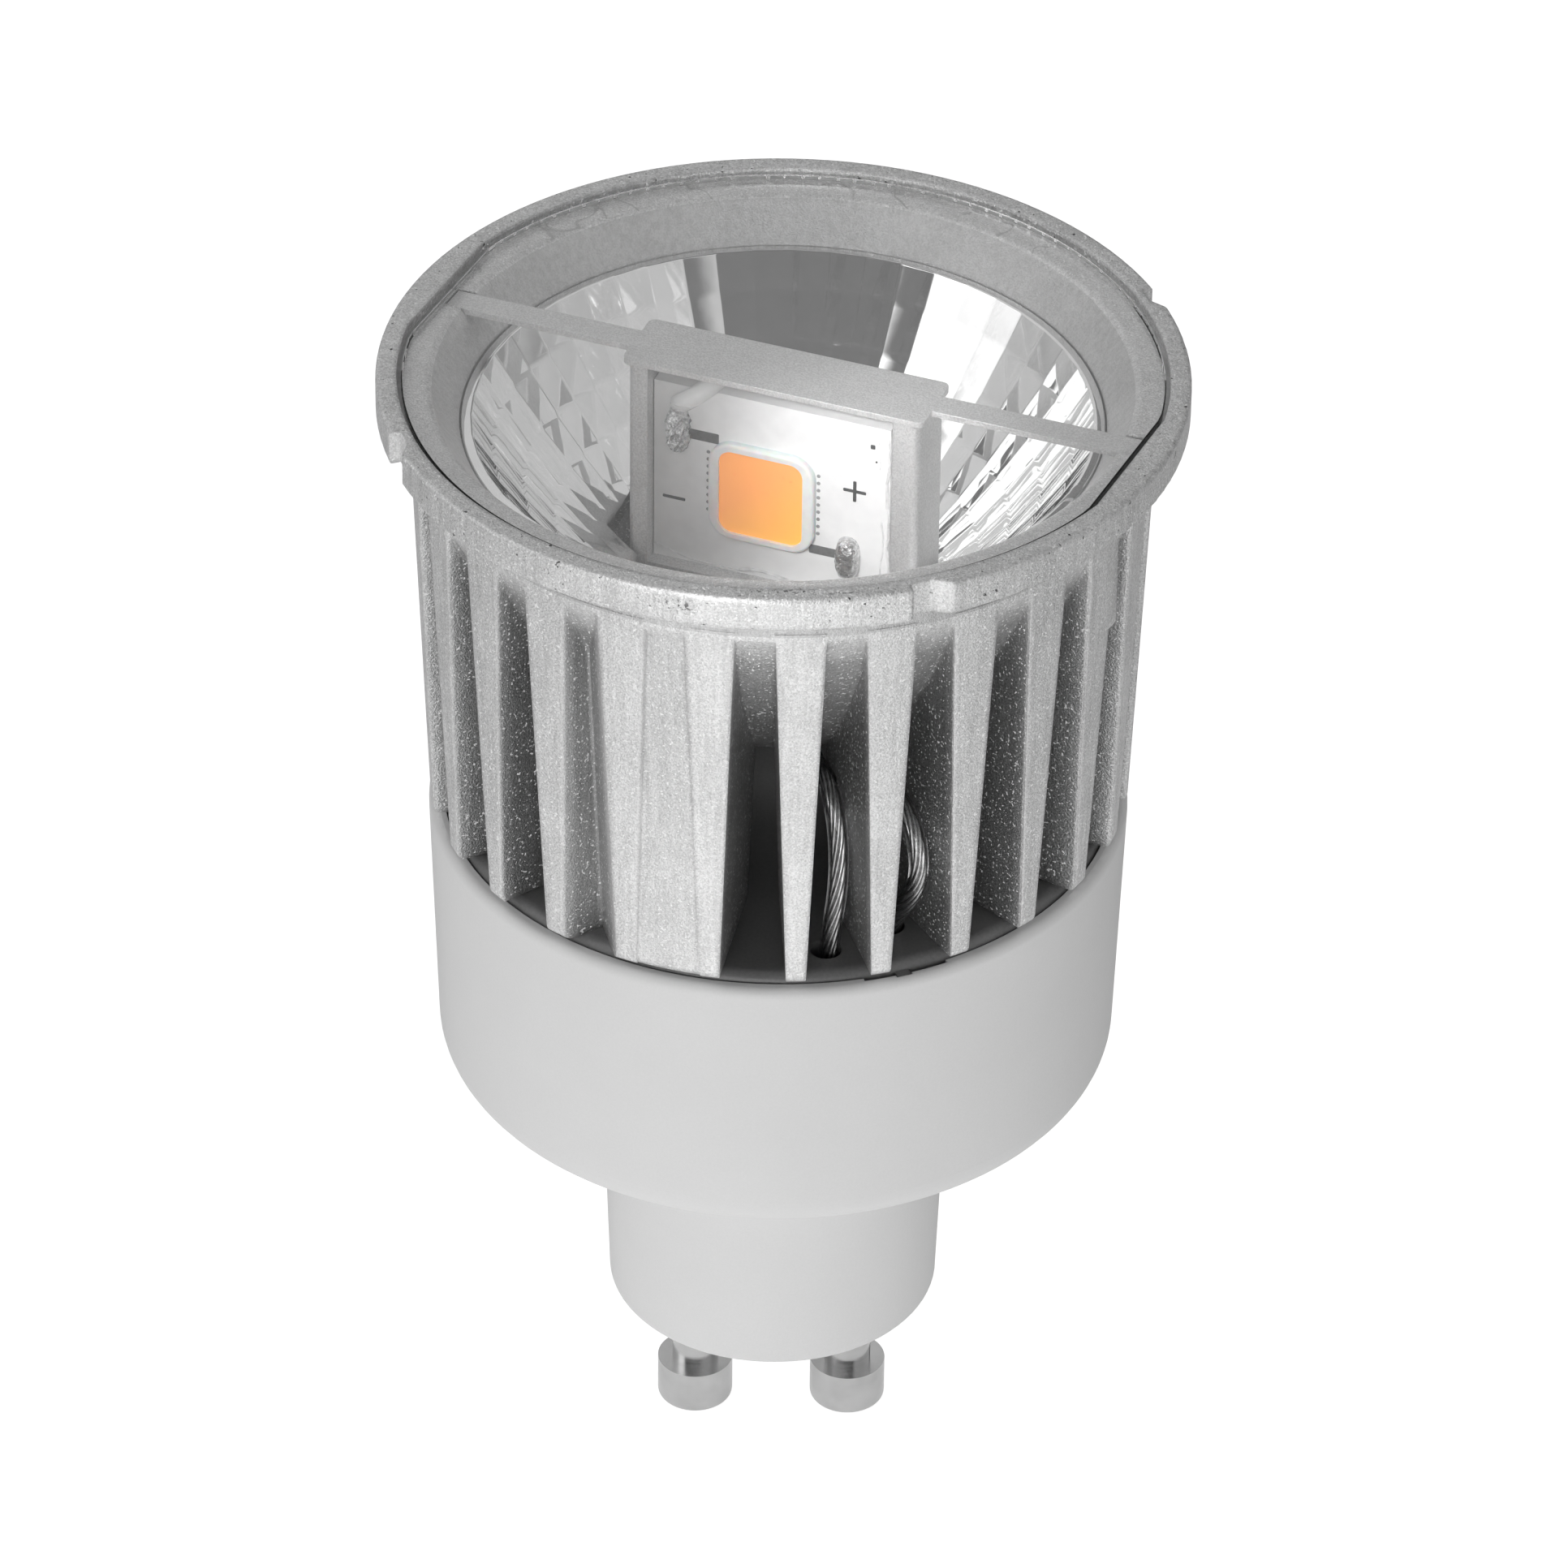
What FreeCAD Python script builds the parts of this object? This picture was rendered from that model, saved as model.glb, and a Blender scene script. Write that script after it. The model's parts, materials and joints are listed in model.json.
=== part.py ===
import FreeCAD, Part
import math
import os

# GU10 spotlight bulb with a finned cast heat sink, in millimetres.
# +Z is the lamp's axis, from the contact pins at the bottom to the glass at the top.
# The origin lies on the axis, level with the pins' ends. The pins stand along X.
# The bridge frame turns with the LED bridge: X runs along its bar and -Y is the side that shines.

V = FreeCAD.Vector
AXIS = V(0, 0, 1)

# Contact pins
pin_spacing = 10.0
pin_head_d = 4.9
pin_head_h = 3.05
pin_head_round = 0.4
pin_stem_d = 3.0
pin_reach = 10.7
pin_collar_d = 6.4
pin_collar_h = 3.2
rivet_d = 4.2
rivet_h = 0.6
pin_bore_d = 1.2
pin_bore_depth = 4.0

# Plastic driver housing, from the neck's end face up to its lip
neck_h = 19.1
neck_end_r = 10.6
neck_root_r = 11.25
neck_wall = 1.8
neck_edge = 0.4
end_wall = 2.0
shoulder_wall = 1.8
shoulder_edge = 2.5
barrel_h = 19.1
barrel_foot_r = 21.45
barrel_flare = 0.6
barrel_wall = 1.55
lip_edge = 0.6
lip_w = 0.95
lip_step = 0.25
lip_step_deg = 284.8
lip_step_span = 14.8
cover_seat_depth = 1.25
guide_rib_w = 1.2
guide_rib_reach = 2.4
guide_rib_root = 0.5
guide_clear = 0.05

# Cover disc between the housing and the heat sink
cover_t = 1.75
cover_gap = 0.15
cover_edge = 0.7
cover_tab_w = 0.9
cover_tab_reach = 0.35
cover_tab_h = 0.7
cover_tab_deg = 291.6
lead_hole_d = 1.95
lead_hole_a = (3.07, -18.1)
lead_hole_b = (6.95, -15.5)

# Heat sink: band and mouth
sink_h = 30.55
band_r = 25.0
band_h = 2.25
band_edge = 0.2
collar_r = 22.95
collar_h = 2.1
mouth_wall = 1.29
mouth_flat_wall = 1.85
ledge_depth = 1.25
funnel_top_r = 21.7
funnel_edge = 0.5
flat_deg = -24.3

# Heat sink: bowl
bowl_bulge_r = 18.75
bowl_bulge_drop = 7.8
bowl_foot_r = 12.8
bowl_foot_h = 11.4
bowl_floor_t = 1.5
bowl_floor_r = 11.2
bowl_belly = 0.8
seat_w = 0.45

# Heat sink: fins
fin_count = 26
fin_phase = 273.2
fin_foot_w = 1.2
fin_draft = 2.05
fin_core_r = 13.2
fin_foot_r = 22.0
fin_lean = 2.15
fin_foot_round = 0.4
fin_corner = 0.8
fin_root = 0.5

# Heat sink: screw bosses, webs and notches
boss_in_r = 14.5
boss_recess = 0.35
boss_foot_recess = 0.1
web_root_foot_r = 19.25
web_root_top_r = 21.0
web_root_turn = -2.4
notch_w = 2.6
notch_depth = 0.75
notch_run = 1.2
notches = ((21.1, -1), (200.3, 1), (291.4, 1))
pad_turn = 328.6
pad_t = 1.0
pad_r = 1.4
pad_h = 8.1

# Glass and its sealant
glass_gap = 0.28
glass_flat_gap = 0.4
glass_t = 1.0
glass_edge = 0.08
seal_h = 0.6

# Faceted reflector
dish_flange_r = 19.8
dish_flange_t = 0.8
dish_mouth_r = 19.2
dish_neck_r = 9.3
dish_depth = 11.9
dish_drop = 1.0
dish_gap = 0.1
dish_below_ledge = 2.6
facet_sectors = 51
facet_phase = 4.08
facet_row = 1.9
facet_top_row = 1.35
facet_rows = 4
post_gap = 0.25
post_end_gap = 1.2

# LED bridge: bar, wide plate and post, cast in one
bridge_deg = -20.7
bridge_back = 1.45
bridge_shift = -0.4
bar_t = 0.4
bar_w = 1.8
bar_below_glass = 0.2
bar_end_gap = 0.1
bar_slot_gap = 0.15
plate_w = 19.8
plate_d = 4.9
plate_round = 0.5
post_w = 19.2
post_d = 4.5
post_round = 0.6
pocket_left = 8.25
pocket_w = 16.13
pocket_back = 2.1
pocket_shelf = 1.45
notch_lead_x = -4.3
notch_lead_w = 1.8
notch_lead_h = 2.2

# LED board and what is on it
board_w = 15.6
board_h = 12.9
board_t = 1.0
board_left_gap = 0.05
paste_t = 0.1
paste_bead_drop = 0.25
paste_bead_short = 0.4
dam_x = -1.35
dam_up = 6.1
dam_size = 7.0
dam_wall_x = 0.72
dam_wall_z = 0.5
dam_h = 0.5
dam_round = 1.6
dam_edge = 0.2
phosphor_sag = 0.2
joint_w = 1.5
joint_h = 3.3
joint_t = 0.6
joint_edge = 0.4
joint_corner_share = 0.46
joint_minus_x = -6.95
joint_minus_up = 9.75
joint_plus_x = 4.35
joint_plus_up = 2.95

# Screws
screw_head_h = 1.4
screw_slot_w = 0.7
cover_screw_d = 2.2
cover_screw_head_d = 4.2
cover_screw_depth = 6.0
cover_screw_inset = 2.5
bridge_screw_d = 1.6
bridge_screw_head_d = 3.2
bridge_screw_depth = 3.5
bridge_screw_x = 6.0
bridge_screw_back = 1.2

# Driver board and its parts
pcb_t = 1.6
pcb_y = -2.0
pcb_side_gap = 1.3
pcb_h = 13.0
pcb_tongue_half_w = 7.0
pcb_tongue_h = 15.5
core_w = 13.6
core_h = 12.4
core_d = 6.0
core_leg = 2.5
core_post = 4.2
coil_over = 2.2
coil_gap = 0.1
coil_round = 1.0
can_d = 8.0
can_h = 12.0
can_edge = 0.6
can_inset = 7.5
film_w = 5.0
film_h = 10.0
film_d = 8.5
film_round = 0.6
film_inset = 7.4
choke_d = 6.0
choke_h = 6.5
choke_neck = 1.0
choke_flange = 1.2
fuse_d = 2.4
fuse_l = 6.5
fuse_round = 0.5
fuse_x = 4.6
rectifier_w = 4.7
rectifier_h = 3.9
rectifier_d = 1.5
rectifier_x = -10.0
driver_chip_w = 5.0
driver_chip_h = 4.0
driver_chip_d = 1.5
driver_chip_x = -2.5

# Leads
lead_r = 0.625
feed_r = 0.45
lead_clear = 0.15
lead_start_drop = 3.0
floor_hole_d = 2.8
floor_hole_minus = (-3.4, 5.5)
floor_hole_plus = (4.6, -3.4)

# Overshoot of the shapes that are cut away
over = 1.0

# Levels, from the pins' ends upwards
shoulder_z = pin_reach + neck_h
lip_z = shoulder_z + barrel_h
cover_low_z = lip_z - cover_seat_depth
sink_z = cover_low_z + cover_t
rim_z = sink_z + sink_h
ledge_z = rim_z - ledge_depth
band_low_z = rim_z - band_h
gap_top_z = band_low_z - collar_h
bowl_foot_z = sink_z + bowl_foot_h
floor_z = bowl_foot_z + bowl_floor_t
dish_top_z = ledge_z - dish_below_ledge
seat_z = dish_top_z - dish_flange_t
bar_top_z = ledge_z - bar_below_glass
bar_low_z = bar_top_z - bar_t
shelf_z = floor_z + pocket_shelf
barrel_floor_z = shoulder_z + shoulder_wall
part_z = barrel_floor_z + pcb_h / 2
tongue_z = barrel_floor_z - pcb_tongue_h / 2
lead_start_z = barrel_floor_z + pcb_h - lead_start_drop

# Shared places worked out from the sizes above
pin_places = (-pin_spacing / 2, pin_spacing / 2)
pitch = 360.0 / fin_count
fin_top_r = fin_foot_r + (gap_top_z - sink_z) * math.tan(math.radians(fin_lean))
boss_turns = (fin_phase - 1.5 * pitch, fin_phase - 1.5 * pitch + 180)
web_turns = (fin_phase - 2.5 * pitch, fin_phase - 2.5 * pitch + 180)
lip_r = barrel_foot_r + barrel_flare
barrel_in_r = barrel_foot_r - barrel_wall
cover_r = lip_r - lip_w - cover_gap
cover_screw_r = barrel_in_r - cover_screw_inset
pcb_half_w = barrel_in_r - pcb_side_gap
mouth_r = band_r - mouth_wall
mouth_flat = band_r - mouth_flat_wall
glass_r = mouth_r - glass_gap
glass_flat = mouth_flat - glass_flat_gap
dish_k = dish_depth / (dish_mouth_r ** 2 - dish_neck_r ** 2)
seat_r = dish_flange_r + dish_gap
facet_rings = [dish_mouth_r] + [dish_mouth_r - facet_top_row - i * facet_row for i in range(facet_rows + 1)]
facet_rings = facet_rings + [dish_neck_r]
post_front_y = bridge_back - post_d / 2
post_back_y = bridge_back + post_d / 2
pocket_y = post_front_y + pocket_back
board_back_y = pocket_y - paste_t
board_y = board_back_y - board_t
board_x = bridge_shift - pocket_left + board_left_gap
bridge_screw_y = bridge_back + bridge_screw_back
bridge_screw_places = (
    (bridge_shift - bridge_screw_x, bridge_screw_y),
    (bridge_shift + bridge_screw_x, bridge_screw_y),
)
pcb_back_y = pcb_y + pcb_t / 2
pcb_front_y = pcb_y - pcb_t / 2
coil_y = pcb_back_y + core_d / 2 + coil_over
lead_start_y = pcb_front_y - lead_r


def line(a, b):
    return Part.LineSegment(V(*a), V(*b)).toShape()


def flat(u, v):
    return V(u, v, 0)


def side(u, v):
    return V(u, 0, v)


def outline(corners, place):
    """Closed wire; a corner's third value is its rounding radius."""
    edges = []
    ends = []
    count = len(corners)
    for i, corner in enumerate(corners):
        here = place(*corner[:2])
        if len(corner) < 3:
            ends.append((here, here))
            continue
        back = (place(*corners[i - 1][:2]) - here).normalize()
        ahead = (place(*corners[(i + 1) % count][:2]) - here).normalize()
        half = back.getAngle(ahead) / 2
        middle = (back + ahead).normalize()
        start = here + back * (corner[2] / math.tan(half))
        stop = here + ahead * (corner[2] / math.tan(half))
        crown = here + middle * (corner[2] / math.sin(half) - corner[2])
        edges.append(Part.Arc(start, crown, stop).toShape())
        ends.append((start, stop))
    for i in range(count):
        a = ends[i - 1][1]
        b = ends[i][0]
        if a.distanceToPoint(b) > 1e-7:
            edges.append(Part.LineSegment(a, b).toShape())
    return Part.Wire(Part.__sortEdges__(edges))


def prism(corners, z0, z1):
    shape = Part.Face(outline(corners, flat)).extrude(V(0, 0, z1 - z0))
    return shape.translated(V(0, 0, z0))


def turned_solid(corners):
    """Solid of revolution about Z from (radius, height) corners."""
    return Part.Face(outline(corners, side)).revolve(V(), AXIS, 360)


def cylinder(x, y, z0, z1, r):
    return Part.makeCylinder(r, z1 - z0, V(x, y, z0))


def block(x0, x1, y0, y1, z0, z1):
    return Part.makeBox(x1 - x0, y1 - y0, z1 - z0, V(x0, y0, z0))


def turn(shape, degrees):
    return shape.rotated(V(), AXIS, degrees)


def at_angle(r, degrees):
    a = math.radians(degrees)
    return r * math.cos(a), r * math.sin(a)


def rectangle(w, h, r):
    return [(-w / 2, -h / 2, r), (w / 2, -h / 2, r), (w / 2, h / 2, r), (-w / 2, h / 2, r)]


def in_bridge(shape):
    """From the bridge frame to the lamp's frame."""
    return turn(shape, bridge_deg)


def bridge_point(x, y, z):
    a = math.radians(bridge_deg)
    return V(x * math.cos(a) - y * math.sin(a), x * math.sin(a) + y * math.cos(a), z)


def flatted_disc(r, flat_r, z0, z1):
    disc = cylinder(0, 0, z0, z1, r)
    return disc.common(turn(block(-flat_r, flat_r, -r, r, z0, z1), flat_deg))


# Heat sink


def bowl_outside():
    """The casting without fins, still filled."""
    bulge = V(bowl_bulge_r, 0, gap_top_z - bowl_bulge_drop)
    top = V(collar_r, 0, gap_top_z)
    foot = V(bowl_foot_r, 0, bowl_foot_z)
    wall = Part.Arc(foot, bulge, top).toShape()
    edges = [
        line((0, 0, bowl_foot_z), foot),
        wall,
        line(top, (0, 0, gap_top_z)),
        line((0, 0, gap_top_z), (0, 0, bowl_foot_z)),
    ]
    bowl = Part.Face(Part.Wire(edges)).revolve(V(), AXIS, 360)
    collar = cylinder(0, 0, gap_top_z, band_low_z, collar_r)
    band = turned_solid([
        (0, band_low_z),
        (band_r, band_low_z, band_edge),
        (band_r, rim_z, band_edge),
        (0, rim_z),
    ])
    return bowl.fuse([collar, band])


def bowl_inside():
    """What the reflector, the bridge and the glass stand in."""
    throat_r = seat_r - seat_w
    pole = V((bowl_floor_r + throat_r) / 2 + bowl_belly, 0, (seat_z + floor_z) / 2)
    curve = Part.BezierCurve()
    curve.setPoles([V(bowl_floor_r, 0, floor_z), pole, V(throat_r, 0, seat_z)])
    edges = [
        line((0, 0, floor_z), (bowl_floor_r, 0, floor_z)),
        curve.toShape(),
        line((throat_r, 0, seat_z), (0, 0, seat_z)),
        line((0, 0, seat_z), (0, 0, floor_z)),
    ]
    bowl = Part.Face(Part.Wire(edges)).revolve(V(), AXIS, 360)
    funnel = turned_solid([
        (0, seat_z),
        (seat_r, seat_z),
        (seat_r, dish_top_z),
        (funnel_top_r, ledge_z, funnel_edge),
        (mouth_flat - funnel_edge, ledge_z),
        (mouth_flat - funnel_edge, ledge_z + funnel_edge),
        (0, ledge_z + funnel_edge),
    ])
    mouth = flatted_disc(mouth_r, mouth_flat, ledge_z, rim_z)
    return bowl.fuse([funnel, mouth])


def fin_ring():
    """Space that the fins may fill, as a solid of revolution."""
    return turned_solid([
        (fin_core_r, sink_z),
        (fin_foot_r, sink_z, fin_corner),
        (fin_top_r, gap_top_z + fin_root),
        (fin_core_r, gap_top_z + fin_root),
    ])


def fin_half_width(z):
    return fin_foot_w / 2 + (z - sink_z) * math.tan(math.radians(fin_draft))


def fin_blade():
    """One fin along +X, thicker towards the band, with a rounded foot."""
    top_z = gap_top_z + fin_root
    half = fin_half_width(top_z)
    corners = [
        (-fin_foot_w / 2, sink_z, fin_foot_round),
        (fin_foot_w / 2, sink_z, fin_foot_round),
        (half, top_z),
        (-half, top_z),
    ]
    face = Part.Face(outline(corners, lambda u, v: V(0, u, v)))
    return face.extrude(V(band_r, 0, 0))


def boss():
    """Block between two fins that takes a cover screw, centred on +X."""
    corners = [
        (boss_in_r, sink_z),
        (fin_foot_r - boss_foot_recess, sink_z, fin_corner),
        (fin_top_r - boss_recess, gap_top_z + fin_root),
        (boss_in_r, gap_top_z + fin_root),
    ]
    sector = Part.Face(outline(corners, side)).revolve(V(), AXIS, pitch)
    pilot = cylinder(cover_screw_r, 0, sink_z, sink_z + cover_screw_depth, cover_screw_d / 2)
    return turn(sector, -pitch / 2).cut(pilot)


def web():
    """Filled gap between two fins with a shallow groove down its front, centred on +X."""
    top_z = gap_top_z + fin_root
    corners = [
        (boss_in_r, sink_z),
        (fin_foot_r, sink_z, fin_corner),
        (fin_top_r, top_z),
        (boss_in_r, top_z),
    ]
    sector = turn(Part.Face(outline(corners, side)).revolve(V(), AXIS, pitch), -pitch / 2)
    rings = []
    ends = ((sink_z, web_root_foot_r, fin_foot_r), (gap_top_z, web_root_top_r, fin_top_r))
    for z, root_r, outer_r in ends:
        mouth = outer_r * math.sin(math.radians(pitch / 2)) - fin_half_width(z)
        root_x, root_y = at_angle(root_r, web_root_turn)
        spread = (band_r - root_x) / (outer_r - root_x)
        sides = [V(band_r, root_y + (end - root_y) * spread, z) for end in (mouth, -mouth)]
        root = V(root_x, root_y, z)
        rings.append(Part.makePolygon([root] + sides + [root]))
    return sector.cut(Part.makeLoft(rings, True, True))


def band_notch(sign):
    """Tool for one notch in the band at +X: one square flank, one that runs out."""
    corners = [
        (band_r + over, -notch_w / 2),
        (band_r - notch_depth, -notch_w / 2),
        (band_r - notch_depth, notch_w / 2 - notch_run, notch_run / 2),
        (band_r, notch_w / 2),
        (band_r + over, notch_w / 2),
    ]
    placed = [(c[0], c[1] * sign) + tuple(c[2:]) for c in corners]
    return prism(placed, band_low_z - over, rim_z + over)


def casting_pad():
    """Thickening on one fin's flank under the collar, with a round lower end."""
    z0 = gap_top_z - pad_h
    half = fin_half_width(z0)
    x = fin_top_r - pad_r - boss_recess
    bar = block(x - pad_r, x + pad_r, half - pad_t, half + pad_t, z0 + pad_r, gap_top_z + fin_root)
    end = Part.makeCylinder(pad_r, 2 * pad_t, V(x, half - pad_t, z0 + pad_r), V(0, 1, 0))
    return bar.fuse(end)


def bar_shape(end_gap, side_gap, z0, z1):
    """The bar's outline under the glass, in the bridge frame."""
    reach = glass_r + over
    half = bar_w / 2 + side_gap
    bar = block(-reach, reach, bridge_back - half, bridge_back + half, z0, z1)
    round_end = flatted_disc(glass_r - end_gap, glass_flat - end_gap, z0, z1)
    return bar.common(turn(round_end, -bridge_deg))


def heat_sink():
    fin = fin_blade().common(fin_ring())
    fins = [turn(fin, fin_phase + i * pitch) for i in range(fin_count)]
    fillings = [turn(boss(), a) for a in boss_turns] + [turn(web(), a) for a in web_turns]
    body = bowl_outside().fuse(fins + fillings + [turn(casting_pad(), pad_turn)])
    tools = [bowl_inside(), in_bridge(bar_shape(0, bar_slot_gap, bar_low_z, ledge_z))]
    tools += [turn(band_notch(sign), a) for a, sign in notches]
    for x, y in (floor_hole_minus, floor_hole_plus):
        tools.append(in_bridge(cylinder(x, y, bowl_foot_z, floor_z, floor_hole_d / 2)))
    for x, y in bridge_screw_places:
        tools.append(in_bridge(cylinder(x, y, bowl_foot_z, floor_z, bridge_screw_d / 2)))
    return body.cut(tools)


# Glass, sealant and reflector


def front_glass():
    glass = flatted_disc(glass_r, glass_flat, ledge_z, ledge_z + glass_t)
    rims = [e for e in glass.Edges if abs(e.BoundBox.ZLength) < 1e-6]
    return glass.makeChamfer(glass_edge, rims)


def glass_seal():
    """Sealant in the gap round the glass, on the ledge."""
    gap = flatted_disc(mouth_r, mouth_flat, ledge_z, ledge_z + seal_h)
    return gap.cut(flatted_disc(glass_r, glass_flat, ledge_z, ledge_z + seal_h))


def dish_z(r):
    return dish_top_z + dish_k * (r ** 2 - dish_mouth_r ** 2)


def dish_point(r, step):
    """Corner of a facet on the dish's bowl."""
    x, y = at_angle(r, facet_phase + 360.0 / facet_sectors * step)
    return V(x, y, dish_z(r))


def facet(points):
    return Part.Face(Part.makePolygon(points + [points[0]]))


def facet_core():
    """The reflector's hollow, bounded by rows of flat four-sided facets."""
    low = V(0, 0, dish_drop + over)
    high = V(0, 0, dish_flange_t)
    faces = []
    for k in range(facet_sectors):
        for i in range(len(facet_rings) - 1):
            upper, upper_next = dish_point(facet_rings[i], k), dish_point(facet_rings[i], k + 1)
            lower, lower_next = dish_point(facet_rings[i + 1], k), dish_point(facet_rings[i + 1], k + 1)
            faces.append(facet([lower, lower_next, upper_next, upper]))
        a, b = dish_point(dish_neck_r, k), dish_point(dish_neck_r, k + 1)
        faces.append(facet([a, b, b - low, a - low]))
        a, b = dish_point(dish_mouth_r, k), dish_point(dish_mouth_r, k + 1)
        faces.append(facet([a, b, b + high, a + high]))
    faces.append(facet([dish_point(dish_neck_r, k) - low for k in range(facet_sectors)]))
    faces.append(facet([dish_point(dish_mouth_r, k) + high for k in range(facet_sectors)]))
    shell = Part.makeShell(faces)
    shell.sewShape()
    return Part.makeSolid(shell)


def reflector():
    """Thin dish with facets inside, a flange on the casting's step and a slot for the post."""
    low_z = dish_z(dish_neck_r) - dish_drop
    top_r = math.sqrt((seat_z + dish_drop - dish_top_z) / dish_k + dish_mouth_r ** 2)
    slope = 2 * dish_k * dish_neck_r
    middle = (dish_neck_r + top_r) / 2
    pole = V(middle, 0, low_z + slope * (middle - dish_neck_r))
    curve = Part.BezierCurve()
    curve.setPoles([V(dish_neck_r, 0, low_z), pole, V(top_r, 0, seat_z)])
    edges = [
        curve.toShape(),
        line((top_r, 0, seat_z), (dish_flange_r, 0, seat_z)),
        line((dish_flange_r, 0, seat_z), (dish_flange_r, 0, dish_top_z)),
        line((dish_flange_r, 0, dish_top_z), (0, 0, dish_top_z)),
        line((0, 0, dish_top_z), (0, 0, low_z)),
        line((0, 0, low_z), (dish_neck_r, 0, low_z)),
    ]
    dish = Part.Face(Part.Wire(edges)).revolve(V(), AXIS, 360).cut(facet_core())
    half = post_w / 2 + post_end_gap
    slot = block(
        bridge_shift - half, bridge_shift + half,
        post_front_y - post_gap, post_back_y + post_gap,
        low_z - over, dish_top_z,
    )
    return dish.cut(in_bridge(slot))


# LED bridge and board, built in the bridge frame


def led_bridge():
    bar = bar_shape(bar_end_gap, 0, bar_low_z, bar_top_z)
    plate = prism(rectangle(plate_w, plate_d, plate_round), bar_low_z, bar_top_z)
    post = prism(rectangle(post_w, post_d, post_round), floor_z, bar_low_z)
    middle = V(bridge_shift, bridge_back, 0)
    body = bar.fuse([plate.translated(middle), post.translated(middle)])
    left = bridge_shift - pocket_left
    pocket = block(left, left + pocket_w, post_front_y - over, pocket_y, shelf_z, bar_low_z)
    lead_way = block(
        notch_lead_x - notch_lead_w / 2, notch_lead_x + notch_lead_w / 2,
        post_front_y, post_back_y,
        bar_low_z - notch_lead_h, bar_low_z,
    )
    tools = [pocket, lead_way]
    for x, y in bridge_screw_places:
        tools.append(cylinder(x, y, floor_z, floor_z + bridge_screw_depth, bridge_screw_d / 2))
    return in_bridge(body.cut(tools))


def led_board():
    return in_bridge(block(board_x, board_x + board_w, board_y, board_back_y, shelf_z, shelf_z + board_h))


def thermal_paste():
    """Layer behind the LED board with a bead squeezed out at its right edge."""
    edge = board_x + board_w
    right = bridge_shift - pocket_left + pocket_w
    top_z = shelf_z + board_h
    layer = block(board_x, edge, board_back_y, pocket_y, shelf_z, top_z)
    bead = block(edge, right, board_y + paste_bead_drop, pocket_y, shelf_z, top_z - paste_bead_short)
    return in_bridge(layer.fuse(bead).removeSplitter())


def on_board(corners, x, up, height):
    """Prism that stands on the LED board's front face."""
    face = Part.Face(outline(corners, lambda u, v: V(u + x, board_y, v + shelf_z + up)))
    return face.extrude(V(0, -height, 0))


def front_edges(shape, height):
    return [e for e in shape.Edges if abs(e.BoundBox.YMax - board_y + height) < 1e-6]


def led_dam():
    outer = on_board(rectangle(dam_size, dam_size, dam_round), dam_x, dam_up, dam_h)
    outer = outer.makeFillet(dam_edge, front_edges(outer, dam_h))
    return in_bridge(outer.cut(chip_fill(dam_h)))


def chip_fill(height):
    w = dam_size - 2 * dam_wall_x
    h = dam_size - 2 * dam_wall_z
    return on_board(rectangle(w, h, dam_round - dam_wall_x), dam_x, dam_up, height)


def led_phosphor():
    return in_bridge(chip_fill(dam_h - phosphor_sag))


def solder_joint(x, up):
    joint = on_board(rectangle(joint_w, joint_h, joint_w * joint_corner_share), x, up, joint_t)
    return in_bridge(joint.makeFillet(joint_edge, front_edges(joint, joint_t)))


# Housing, cover and pins


def guide_ribs():
    """Two pairs of ribs that hold the driver board's sides."""
    half_x = guide_rib_reach / 2 + guide_rib_root
    half_y = guide_rib_w / 2
    top_z = barrel_floor_z + pcb_h
    ribs = []
    for side_x in (-1, 1):
        x = side_x * (barrel_in_r - guide_rib_reach / 2)
        for side_y in (-1, 1):
            y = pcb_y + side_y * (pcb_t / 2 + guide_clear + half_y)
            ribs.append(block(x - half_x, x + half_x, y - half_y, y + half_y, barrel_floor_z, top_z))
    inside = cylinder(0, 0, barrel_floor_z, cover_low_z, (barrel_in_r + barrel_foot_r) / 2)
    return [rib.common(inside) for rib in ribs]


def cover_tabs(gap):
    """Two small tabs on the cover's edge, or with a gap the notches for them in the lip."""
    half = cover_tab_w / 2 + gap
    end = cover_r + cover_gap + cover_tab_reach + gap
    tab = block(cover_r - over, end, -half, half, lip_z - cover_tab_h - gap, lip_z + gap)
    return [turn(tab, cover_tab_deg), turn(tab, cover_tab_deg + 180)]


def lip_stretch():
    """Stretch of the lip that is a little wider inside than the rest."""
    step_r = lip_r - lip_w + lip_step
    corners = [(cover_r, cover_low_z), (step_r, cover_low_z), (step_r, lip_z), (cover_r, lip_z)]
    ring = Part.Face(outline(corners, side)).revolve(V(), AXIS, lip_step_span)
    return turn(ring, lip_step_deg)


def driver_housing():
    outside = turned_solid([
        (0, pin_reach),
        (neck_end_r, pin_reach, neck_edge),
        (neck_root_r, shoulder_z, neck_edge),
        (barrel_foot_r, shoulder_z, shoulder_edge),
        (lip_r, lip_z, lip_edge),
        (0, lip_z),
    ])
    inside = turned_solid([
        (0, pin_reach + end_wall),
        (neck_end_r - neck_wall, pin_reach + end_wall),
        (neck_end_r - neck_wall, barrel_floor_z),
        (barrel_in_r, barrel_floor_z, shoulder_edge - barrel_wall),
        (barrel_in_r, cover_low_z),
        (lip_r - lip_w, cover_low_z),
        (lip_r - lip_w, lip_z),
        (0, lip_z),
    ])
    low_z = pin_reach - pin_collar_h
    collars = [cylinder(x, 0, low_z, pin_reach, pin_collar_d / 2) for x in pin_places]
    holes = [cylinder(x, 0, low_z, pin_reach + end_wall, pin_stem_d / 2) for x in pin_places]
    body = outside.fuse(collars).cut([inside, lip_stretch()] + holes + cover_tabs(cover_gap / 2))
    return body.fuse(guide_ribs())


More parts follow.
